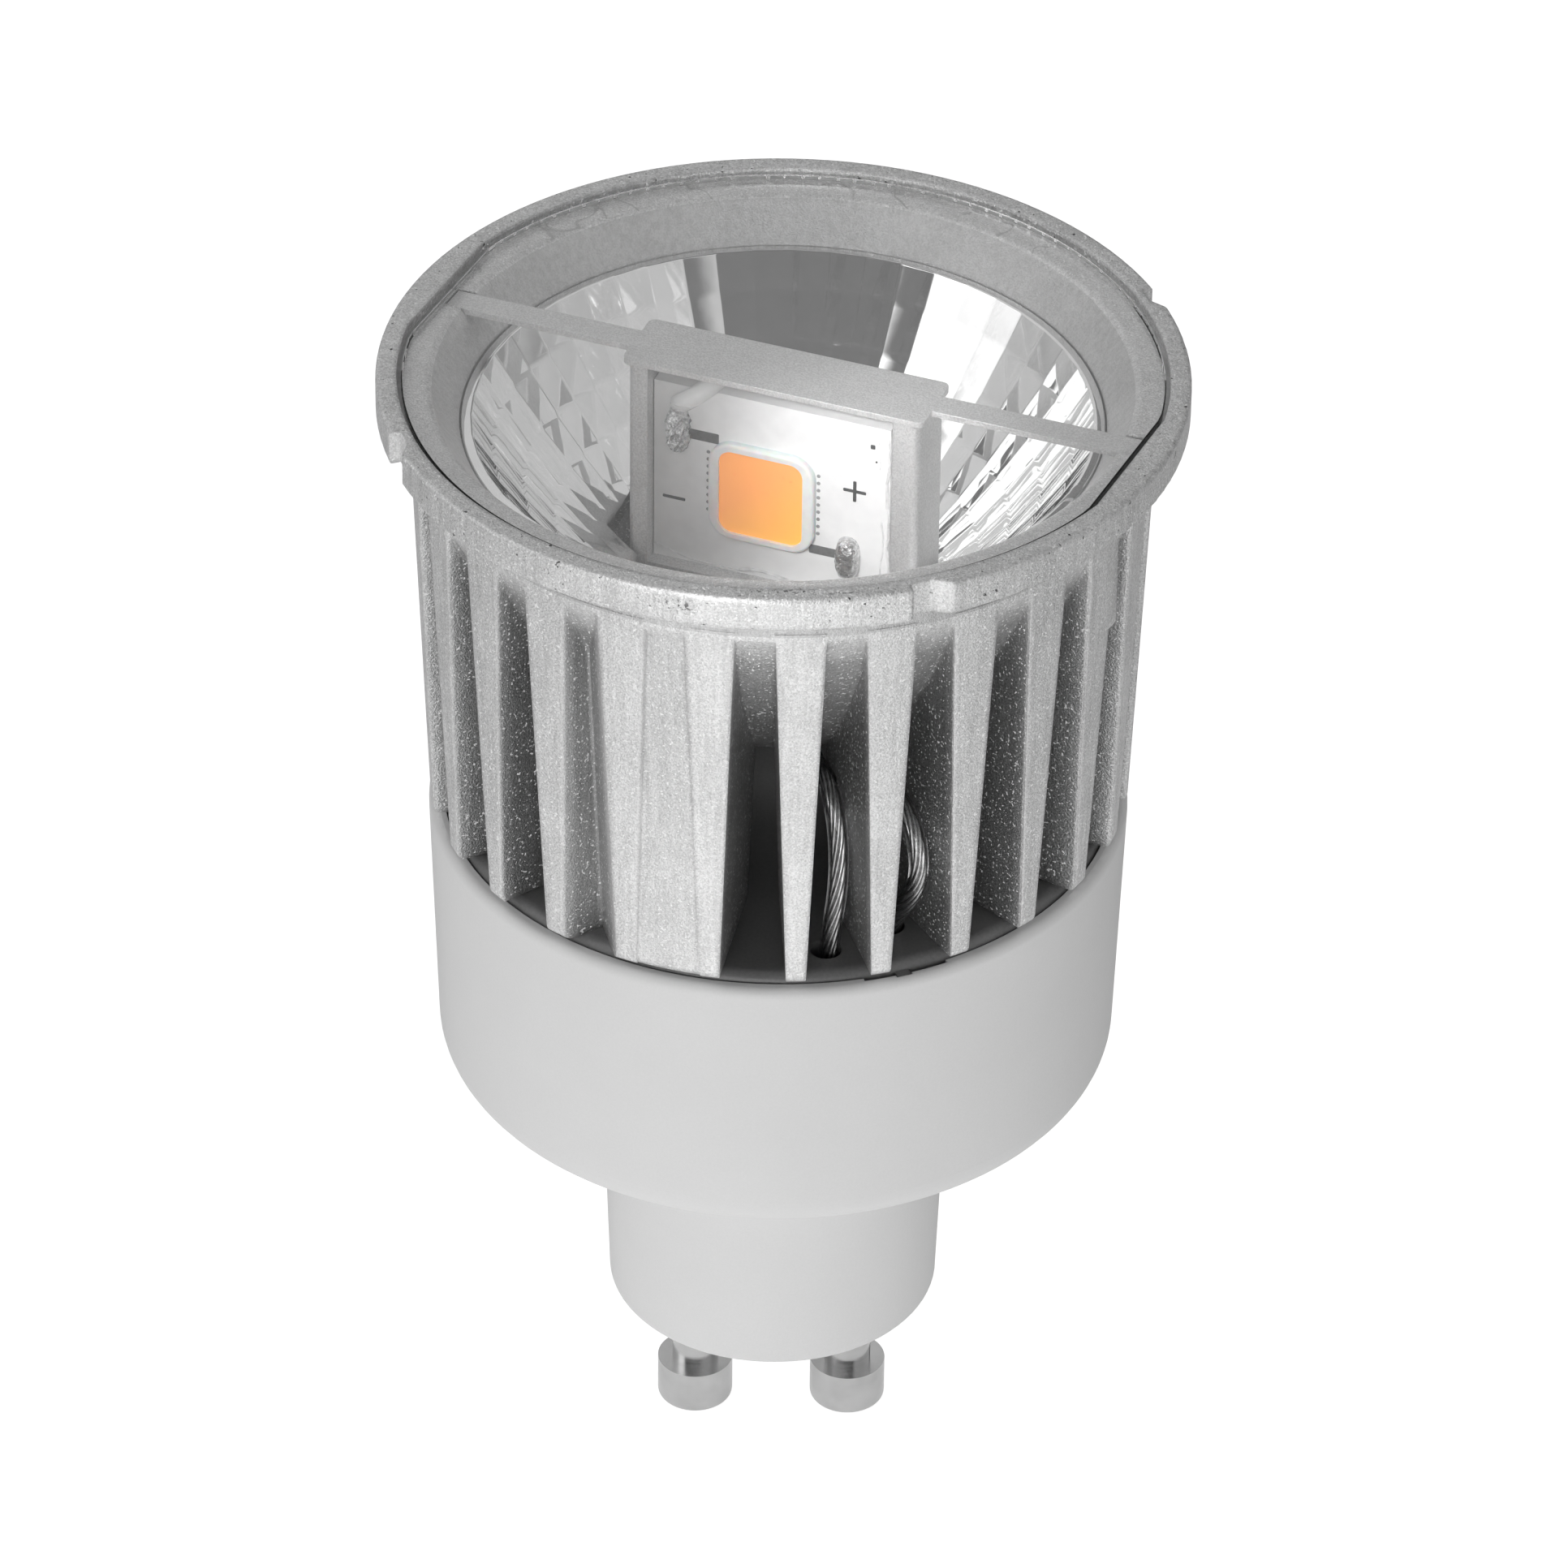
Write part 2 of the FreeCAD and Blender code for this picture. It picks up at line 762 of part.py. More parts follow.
def housing_cover():
    plate = turned_solid([
        (0, cover_low_z),
        (cover_r, cover_low_z),
        (cover_r, sink_z, cover_edge),
        (0, sink_z),
    ])
    lead_holes = (lead_hole_a, lead_hole_b)
    tools = [cylinder(x, y, cover_low_z, sink_z, lead_hole_d / 2) for x, y in lead_holes]
    for a in boss_turns:
        x, y = at_angle(cover_screw_r, a)
        tools.append(cylinder(x, y, cover_low_z, sink_z, cover_screw_d / 2))
    return plate.fuse(cover_tabs(0)).cut(tools)


def contact_pin(x):
    """Headed pin riveted through the neck's end wall, bored for its feed wire."""
    inside_z = pin_reach + end_wall
    top_z = inside_z + rivet_h
    body = turned_solid([
        (0, 0),
        (pin_head_d / 2, 0, pin_head_round),
        (pin_head_d / 2, pin_head_h),
        (pin_stem_d / 2, pin_head_h),
        (pin_stem_d / 2, inside_z),
        (rivet_d / 2, inside_z),
        (rivet_d / 2, top_z),
        (0, top_z),
    ])
    bore = cylinder(0, 0, top_z - pin_bore_depth, top_z, pin_bore_d / 2)
    return body.cut(bore).translated(V(x, 0, 0))


# Screws


def screw(x, y, head_top_z, head_d, shank_d, tip_z):
    """Screw driven upwards, its head's upper face at head_top_z."""
    low_z = head_top_z - screw_head_h
    body = turned_solid([
        (0, low_z),
        (head_d / 2, low_z, screw_head_h / 2),
        (head_d / 2, head_top_z),
        (shank_d / 2, head_top_z),
        (shank_d / 2, tip_z),
        (0, tip_z),
    ])
    half = head_d / 3
    for w, d in ((half, screw_slot_w / 2), (screw_slot_w / 2, half)):
        body = body.cut(block(-w, w, -d, d, low_z, low_z + screw_head_h / 2))
    return body.translated(V(x, y, 0))


def cover_screws():
    tip_z = sink_z + cover_screw_depth
    solids = []
    for a in boss_turns:
        x, y = at_angle(cover_screw_r, a)
        solids.append(screw(x, y, cover_low_z, cover_screw_head_d, cover_screw_d, tip_z))
    return Part.makeCompound(solids)


def bridge_screws():
    tip_z = floor_z + bridge_screw_depth
    solids = []
    for x, y in bridge_screw_places:
        one = screw(x, y, bowl_foot_z, bridge_screw_head_d, bridge_screw_d, tip_z)
        solids.append(in_bridge(one))
    return Part.makeCompound(solids)


# Driver board and its parts


def driver_board():
    low_z = barrel_floor_z - pcb_tongue_h
    corners = [
        (-pcb_tongue_half_w, low_z),
        (pcb_tongue_half_w, low_z),
        (pcb_tongue_half_w, barrel_floor_z),
        (pcb_half_w, barrel_floor_z),
        (pcb_half_w, barrel_floor_z + pcb_h),
        (-pcb_half_w, barrel_floor_z + pcb_h),
        (-pcb_half_w, barrel_floor_z),
        (-pcb_tongue_half_w, barrel_floor_z),
    ]
    face = Part.Face(outline(corners, lambda u, v: V(u, pcb_front_y, v)))
    return face.extrude(V(0, pcb_t, 0))


def transformer_core():
    """Two E halves closed round the coil."""
    y0 = coil_y - core_d / 2
    y1 = coil_y + core_d / 2
    half_w = core_w / 2
    half_h = core_h / 2
    core = block(-half_w, half_w, y0, y1, part_z - half_h, part_z + half_h)
    window_half_h = half_h - core_leg
    window = block(core_post / 2, half_w - core_leg, y0, y1, part_z - window_half_h, part_z + window_half_h)
    return core.cut([window, window.mirror(V(), V(1, 0, 0))])


def transformer_coil():
    """Winding round the core's middle leg."""
    half_x = core_w / 2 - core_leg - coil_gap
    half_y = core_d / 2 + coil_over
    half_z = core_h / 2 - core_leg
    z0 = part_z - half_z
    z1 = part_z + half_z
    winding = prism(rectangle(2 * half_x, 2 * half_y, coil_round), z0, z1)
    leg = block(-core_post / 2, core_post / 2, -core_d / 2, core_d / 2, z0, z1)
    return winding.cut(leg).translated(V(0, coil_y, 0))


def across(shape):
    """From an upright shape on the origin to one that stands on the driver board's rear face."""
    return shape.rotated(V(), V(1, 0, 0), -90).translated(V(0, pcb_back_y, 0))


def smoothing_capacitor():
    can = turned_solid([
        (0, 0),
        (can_d / 2, 0, can_edge),
        (can_d / 2, can_h, can_edge),
        (0, can_h),
    ])
    return across(can).translated(V(can_inset - barrel_in_r, 0, part_z))


def film_capacitor():
    body = across(prism(rectangle(film_w, film_h, film_round), 0, film_d))
    return body.translated(V(barrel_in_r - film_inset, 0, part_z))


def choke():
    """Ferrite drum with its winding between two flanges."""
    drum = turned_solid([
        (0, 0),
        (choke_d / 2, 0),
        (choke_d / 2, choke_flange),
        (choke_d / 2 - choke_neck, choke_flange),
        (choke_d / 2 - choke_neck, choke_h - choke_flange),
        (choke_d / 2, choke_h - choke_flange),
        (choke_d / 2, choke_h),
        (0, choke_h),
    ])
    return across(drum).translated(V(-pcb_tongue_half_w + choke_d / 2, 0, tongue_z))


def fuse_resistor():
    body = turned_solid([
        (0, 0),
        (fuse_d / 2, 0, fuse_round),
        (fuse_d / 2, fuse_l, fuse_round),
        (0, fuse_l),
    ])
    return body.translated(V(fuse_x, pcb_back_y + fuse_d / 2, tongue_z - fuse_l / 2))


def board_chip(w, h, d, x):
    half_w = w / 2
    half_h = h / 2
    return block(x - half_w, x + half_w, pcb_front_y - d, pcb_front_y, part_z - half_h, part_z + half_h)


# Leads


def cord(points, r):
    """Round cord along straight runs joined by tangent arcs; prints its radii and volume."""
    nodes = [V(*p) for p in points]
    edges = []
    start = nodes[0]
    radii = []
    for i in range(1, len(nodes) - 1):
        back = nodes[i - 1] - nodes[i]
        ahead = nodes[i + 1] - nodes[i]
        half_turn = (math.pi - back.getAngle(ahead)) / 2
        trim = 0.45 * min(back.Length, ahead.Length)
        radius = trim / math.tan(half_turn)
        radii.append(round(radius, 2))
        back.normalize()
        ahead.normalize()
        first = nodes[i] + back * trim
        last = nodes[i] + ahead * trim
        middle = (back + ahead).normalize()
        crown = nodes[i] + middle * (radius / math.cos(half_turn) - radius)
        edges.append(Part.LineSegment(start, first).toShape())
        edges.append(Part.Arc(first, crown, last).toShape())
        start = last
    edges.append(Part.LineSegment(start, nodes[-1]).toShape())
    path = Part.Wire(edges)
    ring = Part.Wire(Part.makeCircle(r, nodes[0], nodes[1] - nodes[0]))
    tube = path.makePipeShell([ring], True, False)
    ideal = math.pi * r * r * path.Length
    print("cord radii", radii, "volume over ideal", round(tube.Volume / ideal, 4))
    return tube


def led_lead_minus():
    """From the driver board up behind the post and over the LED board to its minus pad."""
    hole_x, hole_y = lead_hole_a
    floor_x, floor_y = floor_hole_minus
    back_y = post_back_y + lead_r + lead_clear
    pad_top_z = shelf_z + joint_minus_up + joint_h / 2
    route = [
        V(2.4, lead_start_y, lead_start_z),
        V(2.5, -8.0, lead_start_z + 1.2),
        V(3.2, -15.1, cover_low_z - 3.0),
        V(hole_x + 0.15, hole_y + 0.1, cover_low_z - 1.0),
        V(hole_x + 0.2, hole_y + 0.05, sink_z + 0.9),
        V(3.72, -18.1, sink_z + 4.25),
        V(3.78, -17.5, sink_z + 7.05),
        V(3.5, -16.8, sink_z + 9.55),
        V(3.0, -15.4, sink_z + 10.95),
        V(2.36, -13.3, sink_z + 10.35),
        V(1.6, -9.0, sink_z + 10.05),
        V(0.2, -1.5, sink_z + 9.45),
        bridge_point(floor_x, floor_y - 0.5, bowl_foot_z - 1.2),
        bridge_point(floor_x - 0.1, floor_y, floor_z + 1.5),
        bridge_point(-3.9, back_y + 0.1, floor_z + 6.0),
        bridge_point(-4.2, back_y, bar_low_z - 5.0),
        bridge_point(notch_lead_x, back_y, bar_low_z - 0.75),
        bridge_point(notch_lead_x - 0.3, post_front_y - 0.1, bar_low_z - 0.75),
        bridge_point(joint_minus_x + 0.2, board_y - lead_r - 0.2, pad_top_z + 0.55),
    ]
    return cord(route, lead_r)


def led_lead_plus():
    """From the driver board up in front of the post to the LED board's plus pad."""
    hole_x, hole_y = lead_hole_b
    floor_x, floor_y = floor_hole_plus
    pad_low_z = shelf_z + joint_plus_up - joint_h / 2
    route = [
        V(5.6, lead_start_y, lead_start_z - 1.0),
        V(5.9, -8.0, lead_start_z),
        V(6.6, -13.6, cover_low_z - 3.0),
        V(hole_x, hole_y, cover_low_z - 0.3),
        V(hole_x + 0.1, hole_y - 0.05, sink_z + 0.5),
        V(8.3, -17.5, sink_z + 3.65),
        V(8.8, -18.2, sink_z + 6.45),
        V(8.2, -17.0, sink_z + 9.05),
        V(6.8, -14.9, sink_z + 10.15),
        V(5.43, -12.255, sink_z + 10.35),
        V(4.05, -9.1, sink_z + 10.15),
        bridge_point(floor_x + 0.1, floor_y - 0.6, bowl_foot_z - 1.0),
        bridge_point(floor_x, floor_y + 0.1, floor_z + 0.8),
        bridge_point(joint_plus_x, board_y - lead_r - 0.1, pad_low_z - 0.15),
    ]
    return cord(route, lead_r)


def feed_wire(sign):
    """From a contact pin's bore to the driver board's tongue."""
    x = sign * pin_spacing / 2
    top_z = pin_reach + end_wall + rivet_h
    route = [
        V(x, 0, top_z - pin_bore_depth),
        V(x, 0, top_z + 1.0),
        V(x + sign * 0.2, pcb_back_y + feed_r + 0.02, top_z + 4.0),
        V(x + sign * 0.2, pcb_back_y + feed_r, top_z + 7.0),
    ]
    return cord(route, feed_r)


nodes = {
    "heat_sink": heat_sink,
    "front_glass": front_glass,
    "glass_seal": glass_seal,
    "reflector": reflector,
    "led_bridge": led_bridge,
    "bridge_screws": bridge_screws,
    "led_board": led_board,
    "thermal_paste": thermal_paste,
    "led_dam": led_dam,
    "led_phosphor": led_phosphor,
    "solder_joint_minus": lambda: solder_joint(joint_minus_x, joint_minus_up),
    "solder_joint_plus": lambda: solder_joint(joint_plus_x, joint_plus_up),
    "led_lead_minus": led_lead_minus,
    "led_lead_plus": led_lead_plus,
    "driver_housing": driver_housing,
    "housing_cover": housing_cover,
    "cover_screws": cover_screws,
    "contact_pin_left": lambda: contact_pin(-pin_spacing / 2),
    "contact_pin_right": lambda: contact_pin(pin_spacing / 2),
    "feed_wire_left": lambda: feed_wire(-1),
    "feed_wire_right": lambda: feed_wire(1),
    "driver_board": driver_board,
    "transformer_core": transformer_core,
    "transformer_coil": transformer_coil,
    "smoothing_capacitor": smoothing_capacitor,
    "film_capacitor": film_capacitor,
    "choke": choke,
    "fuse_resistor": fuse_resistor,
    "bridge_rectifier": lambda: board_chip(rectifier_w, rectifier_h, rectifier_d, rectifier_x),
    "driver_chip": lambda: board_chip(driver_chip_w, driver_chip_h, driver_chip_d, driver_chip_x),
}

os.makedirs("parts", exist_ok=True)
for name, make in nodes.items():
    shape = make()
    shape.exportStep("parts/" + name + ".step")
    box = shape.BoundBox
    heights = (round(box.ZMin, 2), round(box.ZMax, 2))
    print(name, len(shape.Solids), shape.isValid(), round(shape.Volume, 1), heights)
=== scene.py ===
import json
import math

import bmesh
import bpy
from mathutils import Matrix, Vector, noise


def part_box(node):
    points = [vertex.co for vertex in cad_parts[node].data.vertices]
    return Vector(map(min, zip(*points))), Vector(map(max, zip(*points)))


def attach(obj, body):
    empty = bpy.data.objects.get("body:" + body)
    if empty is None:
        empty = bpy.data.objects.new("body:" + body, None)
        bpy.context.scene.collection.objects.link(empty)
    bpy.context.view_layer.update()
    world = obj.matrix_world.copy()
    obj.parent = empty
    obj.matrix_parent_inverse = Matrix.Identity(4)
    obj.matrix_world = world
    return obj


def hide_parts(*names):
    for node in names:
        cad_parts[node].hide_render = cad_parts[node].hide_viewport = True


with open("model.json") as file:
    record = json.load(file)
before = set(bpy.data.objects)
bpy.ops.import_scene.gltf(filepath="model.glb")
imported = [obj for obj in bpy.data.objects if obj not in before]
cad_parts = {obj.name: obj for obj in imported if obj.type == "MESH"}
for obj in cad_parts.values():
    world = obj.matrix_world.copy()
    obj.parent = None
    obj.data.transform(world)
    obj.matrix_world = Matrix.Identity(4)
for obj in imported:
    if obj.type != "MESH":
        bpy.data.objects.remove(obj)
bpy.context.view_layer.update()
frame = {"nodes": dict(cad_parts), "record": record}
nodes = frame["nodes"]
MM = 0.001


# Camera at the photograph's place

def direction(azimuth, elevation):
    """Unit vector: azimuth 0 is +X and -90 is the camera's side."""
    a, e = math.radians(azimuth), math.radians(elevation)
    return Vector((math.cos(a) * math.cos(e), math.sin(a) * math.cos(e), math.sin(e)))


ELEVATION = 35.271
ROLL = math.radians(0.748)
AIM = Vector((0.000348, 0.0, 0.04902))
DISTANCE = 0.61524
PHOTO_WIDTH = 1932
FOCAL_PIXELS = 12022
SENSOR = 36

back = direction(-90, ELEVATION)
side = Vector((1, 0, 0))
up = back.cross(side)
side_turned = side * math.cos(ROLL) + up * math.sin(ROLL)
up_turned = up * math.cos(ROLL) - side * math.sin(ROLL)
camera = bpy.data.objects.new("camera", bpy.data.cameras.new("camera"))
camera.data.sensor_fit = "HORIZONTAL"
camera.data.sensor_width = SENSOR
camera.data.lens = SENSOR * (FOCAL_PIXELS / PHOTO_WIDTH)
camera.data.clip_start = 0.01
camera.data.clip_end = 20
turn = Matrix((side_turned, up_turned, back)).transposed().to_4x4()
camera.matrix_world = Matrix.Translation(AIM + back * DISTANCE) @ turn
bpy.context.scene.collection.objects.link(camera)
bpy.context.scene.camera = camera
bpy.context.scene.view_settings.view_transform = "Standard"


def math_node(tree, kind, a, b=0.0, clamp=False):
    """A maths node from numbers or other nodes' outputs."""
    node = tree.nodes.new("ShaderNodeMath")
    node.operation = kind
    node.use_clamp = clamp
    for socket, value in zip(node.inputs, (a, b)):
        if isinstance(value, bpy.types.NodeSocket):
            tree.links.new(value, socket)
        else:
            socket.default_value = value
    return node.outputs[0]


class Graph:
    """A material's node tree, with short calls for the nodes that the finishes share."""

    def __init__(self, name, **sockets):
        self.material = bpy.data.materials.new(name)
        self.material.use_nodes = True
        self.tree = self.material.node_tree
        self.shader = self.tree.nodes["Principled BSDF"]
        self.coords = self.tree.nodes.new("ShaderNodeTexCoord").outputs["Object"]
        self.set(self.shader, sockets)

    def set(self, node, sockets):
        for key, value in sockets.items():
            socket = node.inputs[key if isinstance(key, int) else key.replace("_", " ")]
            if isinstance(value, bpy.types.NodeSocket):
                self.tree.links.new(value, socket)
            elif isinstance(value, tuple) and len(value) == 3 and socket.type == "RGBA":
                socket.default_value = (*value, 1)
            else:
                socket.default_value = value

    def noise(self, scale, detail=2.0, roughness=0.5, vector=None, distortion=0.0):
        node = self.tree.nodes.new("ShaderNodeTexNoise")
        self.set(node, {"Vector": vector or self.coords, "Scale": scale, "Detail": detail,
                        "Roughness": roughness, "Distortion": distortion})
        return node.outputs["Fac"]

    def stretched(self, x, y, z):
        node = self.tree.nodes.new("ShaderNodeVectorMath")
        node.operation = "MULTIPLY"
        self.set(node, {0: self.coords, 1: (x, y, z)})
        return node.outputs[0]

    def math(self, kind, a, b=0.0, clamp=False):
        return math_node(self.tree, kind, a, b, clamp)

    def ramp(self, value, *stops):
        """Grey or coloured ramp from (place, colour) stops."""
        node = self.tree.nodes.new("ShaderNodeValToRGB")
        elements = node.color_ramp.elements
        while len(elements) < len(stops):
            elements.new(0.5)
        for element, (place, colour) in zip(elements, stops):
            element.position = place
            tone = (colour, colour, colour) if isinstance(colour, (int, float)) else colour
            element.color = (*tone, 1)
        self.set(node, {"Fac": value})
        return node.outputs["Color"]

    def mix(self, kind, fac, a, b):
        """Two colours mixed. A colour mix node has them at its inputs 6 and 7."""
        node = self.tree.nodes.new("ShaderNodeMix")
        node.data_type = "RGBA"
        node.blend_type = kind
        self.set(node, {0: fac, 6: a, 7: b})
        return node.outputs[2]

    def between(self, fac, a, b):
        return self.mix("MIX", fac, a, b)

    def multiply(self, a, b, fac=1.0):
        return self.mix("MULTIPLY", fac, a, b)

    def bump(self, height, strength, distance, normal=None):
        node = self.tree.nodes.new("ShaderNodeBump")
        self.set(node, {"Height": height, "Strength": strength, "Distance": distance})
        if normal is not None:
            self.set(node, {"Normal": normal})
        return node.outputs["Normal"]

    def rounded(self, radius):
        """Normal that rounds the sharp edges of a casting or moulding."""
        node = self.tree.nodes.new("ShaderNodeBevel")
        node.samples = 4
        self.set(node, {"Radius": radius})
        return node.outputs["Normal"]

    def near(self, centre, reach):
        """1 at a place of the lamp, in mm, falling off over the reach on each axis."""
        apart = 0.0
        for value, middle, size in zip(self.place(), centre, reach):
            off = self.math("DIVIDE", self.math("SUBTRACT", value, middle * MM), size * MM)
            apart = self.math("ADD", self.math("MULTIPLY", off, off), apart)
        return self.math("EXPONENT", self.math("MULTIPLY", apart, -1.0))

    def place(self):
        """The point's x, y and z in the object's frame."""
        node = self.tree.nodes.new("ShaderNodeSeparateXYZ")
        self.set(node, {0: self.coords})
        return node.outputs[0], node.outputs[1], node.outputs[2]

    def radius(self):
        x, y, _ = self.place()
        return self.math("SQRT", self.math("ADD", self.math("MULTIPLY", x, x), self.math("MULTIPLY", y, y)))


# Places on the heat sink, in metres, for its finish. The fins' outer line starts at FIN_FOOT_R and SINK_Z
# and leans by FIN_SLOPE, and the painted shade in the gaps between fins ends at GAP_TOP_Z. The funnel lies
# inside INSIDE_R, the ledge's wet line behind LEDGE_BACK_Y, and the scattered pits outside RIM_R. The two
# patches of pits have a middle and a reach in millimetres.
FIN_FOOT_R = 0.022
SINK_Z = 0.0494
FIN_SLOPE = math.tan(math.radians(2.15))
GAP_TOP_Z = 0.0756
GAP_SHADE = (0.58, 0.58, 0.58)
GAP_SHADE_RISE = 900.0
FUNNEL_MID_Z = 0.0772
FUNNEL_HALF_H = 0.0013
INSIDE_R = 0.0232
LEDGE_Z = 0.0787
LEDGE_BACK_Y = 0.012
ON_LEDGE = 0.0001
RIM_R = 0.0236
PIT_CLUSTER = ((-6.0, -24.3, 79.0), (1.3, 1.5, 0.4))
PIT_ROW = ((1.0, -24.0, 79.95), (4.6, 0.22, 0.2))


def cast_silver():
    """Sandy silver paint on a die casting: bright grains, draw marks down the fins, pits round the rim,
    painted shade between fins.
    """
    g = Graph("cast_silver", Roughness=0.42)
    grain = g.noise(7600, 2.0, 0.65)
    sandy = g.ramp(grain, (0.34, 0.7), (0.5, 0.86), (0.66, 1.0))
    fine_sand = g.ramp(grain, (0.34, 0.65), (0.5, 0.72), (0.66, 0.79))
    _, y, z = g.place()
    off_funnel = g.math("ABSOLUTE", g.math("SUBTRACT", z, FUNNEL_MID_Z))
    inside = g.math("MULTIPLY", g.math("LESS_THAN", g.radius(), INSIDE_R),
                    g.math("LESS_THAN", off_funnel, FUNNEL_HALF_H))
    body = g.between(inside, sandy, fine_sand)
    cloud = g.ramp(g.noise(260, 3.0, 0.6), (0.3, 0.9), (0.7, 1.0))
    streaks = g.noise(2600, 3.0, 0.6, vector=g.stretched(1, 1, 0.05))
    drawn = g.ramp(streaks, (0.35, 0.88), (0.6, 1.0))
    colour = g.multiply(g.multiply(body, cloud), drawn)
    # Painted shade: below the fins' outer line, in the gaps between fins, the colour is darkened by
    # GAP_SHADE.
    outside = g.math("ADD", g.math("MULTIPLY", z, FIN_SLOPE), FIN_FOOT_R - SINK_Z * FIN_SLOPE)
    depth = g.math("MULTIPLY", g.math("SUBTRACT", outside, g.radius()), GAP_SHADE_RISE, clamp=True)
    painted_shade_between_fins = g.math("MULTIPLY", depth, g.math("LESS_THAN", z, GAP_TOP_Z))
    colour = g.multiply(colour, GAP_SHADE, painted_shade_between_fins)
    bright = g.ramp(g.noise(5200, 1.0, 0.5), (0.64, 0.0), (0.69, 1.0))
    speck = g.math("MULTIPLY", bright, g.math("SUBTRACT", 1.0, inside))
    colour = g.between(speck, colour, (1.0, 1.0, 1.0))
    off_ledge = g.math("ABSOLUTE", g.math("SUBTRACT", z, LEDGE_Z))
    on_ledge = g.math("MULTIPLY", g.math("LESS_THAN", off_ledge, ON_LEDGE),
                      g.math("GREATER_THAN", y, LEDGE_BACK_Y))
    wetted = g.ramp(g.noise(310, 1.0, 0.4), (0.47, 0.0), (0.485, 1.0), (0.5, 0.0))
    wet_line = g.math("MULTIPLY", g.math("MULTIPLY", wetted, on_ledge), 0.5)
    colour = g.between(wet_line, colour, (0.25, 0.25, 0.25))
    pits = g.noise(2300, 2.0, 0.55)
    scattered = g.math("MULTIPLY", g.ramp(pits, (0.69, 0.0), (0.74, 1.0)),
                       g.math("GREATER_THAN", g.radius(), RIM_R))
    fine_pits = g.ramp(g.noise(4200, 2.0, 0.6), (0.56, 0.0), (0.62, 1.0))
    patch = g.math("ADD", g.near(*PIT_CLUSTER), g.near(*PIT_ROW))
    pitted = g.math("MAXIMUM", scattered, g.math("MULTIPLY", fine_pits, patch), clamp=True)
    colour = g.between(pitted, colour, (0.13, 0.13, 0.13))
    fine = g.bump(grain, 0.9, 0.00007, g.rounded(0.00045))
    wavy = g.bump(g.noise(900, 2.0), 0.3, 0.0001, fine)
    sunk = g.bump(pitted, 0.6, -0.0001, wavy)
    g.set(g.shader, {"Base Color": colour, "Normal": sunk,
                     "Metallic": g.math("SUBTRACT", 0.9, g.math("MULTIPLY", speck, 0.9))})
    return g.material


def bridge_grey():
    g = Graph("bridge_grey", Metallic=0.8, Roughness=0.5)
    grain = g.noise(8200, 2.0, 0.6)
    grainy = g.ramp(grain, (0.36, 0.73), (0.64, 0.91))
    colour = g.multiply(grainy, g.ramp(g.noise(500, 2.0), (0.3, 0.94), (0.7, 1.0)))
    speck = g.ramp(g.noise(5600, 1.0, 0.5), (0.66, 0.0), (0.71, 1.0))
    colour = g.between(speck, colour, (0.9, 0.9, 0.9))
    g.set(g.shader, {"Base Color": colour, "Normal": g.bump(grain, 0.8, 0.00006, g.rounded(0.00007))})
    return g.material


def clear_glass():
    white = (1.0, 1.0, 1.0)
    return Graph("clear_glass", Base_Color=white, Roughness=0.0, IOR=1.5, Transmission_Weight=1.0).material


def clear_sealant():
    g = Graph("clear_sealant", Roughness=0.3, IOR=1.41, Transmission_Weight=0.6)
    cloud = g.noise(1500, 3.0)
    g.set(g.shader, {"Base Color": g.ramp(cloud, (0.3, 0.55), (0.7, 0.8)),
                     "Normal": g.bump(cloud, 0.5, 0.0002)})
    return g.material


def reflector_metal():
    g = Graph("reflector_metal", Metallic=1.0, Roughness=0.03)
    haze = g.noise(420, 3.0, 0.6)
    g.set(g.shader, {"Base Color": g.ramp(haze, (0.3, 0.9), (0.7, 0.95)),
                     "Normal": g.bump(g.noise(700, 1.0), 0.05, 0.0001)})
    return g.material


def white_ceramic():
    g = Graph("white_ceramic", Roughness=0.35, IOR=1.5)
    g.set(g.shader, {"Base Color": g.ramp(g.noise(900, 3.0), (0.3, 0.86), (0.7, 0.92)),
                     "Normal": g.bump(g.noise(6000, 2.0), 0.08, 0.00003)})
    return g.material


def white_silicone():
    g = Graph("white_silicone", Roughness=0.4, IOR=1.41, Subsurface_Weight=0.6, Subsurface_Scale=0.0008)
    g.set(g.shader, {"Base Color": g.ramp(g.noise(1800, 2.0), (0.3, 0.80), (0.7, 0.86)),
                     "Normal": g.bump(g.noise(1100, 2.0), 0.12, 0.0001)})
    return g.material


def white_paste():
    g = Graph("white_paste", Roughness=0.55)
    lumps = g.noise(1600, 4.0, 0.6)
    g.set(g.shader, {"Base Color": g.ramp(lumps, (0.3, 0.6), (0.6, 0.85)),
                     "Normal": g.bump(lumps, 0.8, 0.0003)})
    return g.material


# The phosphor grows yellower to the right of this x and below this z, in metres
YELLOW_FROM_X = -0.0015
YELLOW_FROM_Z = 0.0690


def phosphor():
    """Orange phosphor, yellower towards the lower right corner, with a few dark specks and a painted glow
    in its own colour.
    """
    # Painted glow: the phosphor gives off a little light of its own colour (Emission Strength 0.42).
    g = Graph("phosphor", Roughness=0.35, IOR=1.41, Emission_Strength=0.42)
    x, _, z = g.place()
    low = g.math("MULTIPLY", g.math("SUBTRACT", YELLOW_FROM_Z, z), 160.0)
    right = g.math("MULTIPLY", g.math("SUBTRACT", x, YELLOW_FROM_X), 140.0)
    warm = g.math("ADD", g.math("ADD", low, right), 0.25, clamp=True)
    colour = g.between(warm, (0.92, 0.355, 0.095), (0.96, 0.46, 0.055))
    specks = g.ramp(g.noise(2600, 1.0), (0.72, 0.0), (0.76, 1.0))
    colour = g.between(g.math("MULTIPLY", specks, 0.35), colour, (0.5, 0.2, 0.05))
    g.set(g.shader, {"Base Color": colour, "Emission Color": colour,
                     "Normal": g.bump(g.noise(1200, 2.0), 0.1, 0.0001)})
    return g.material


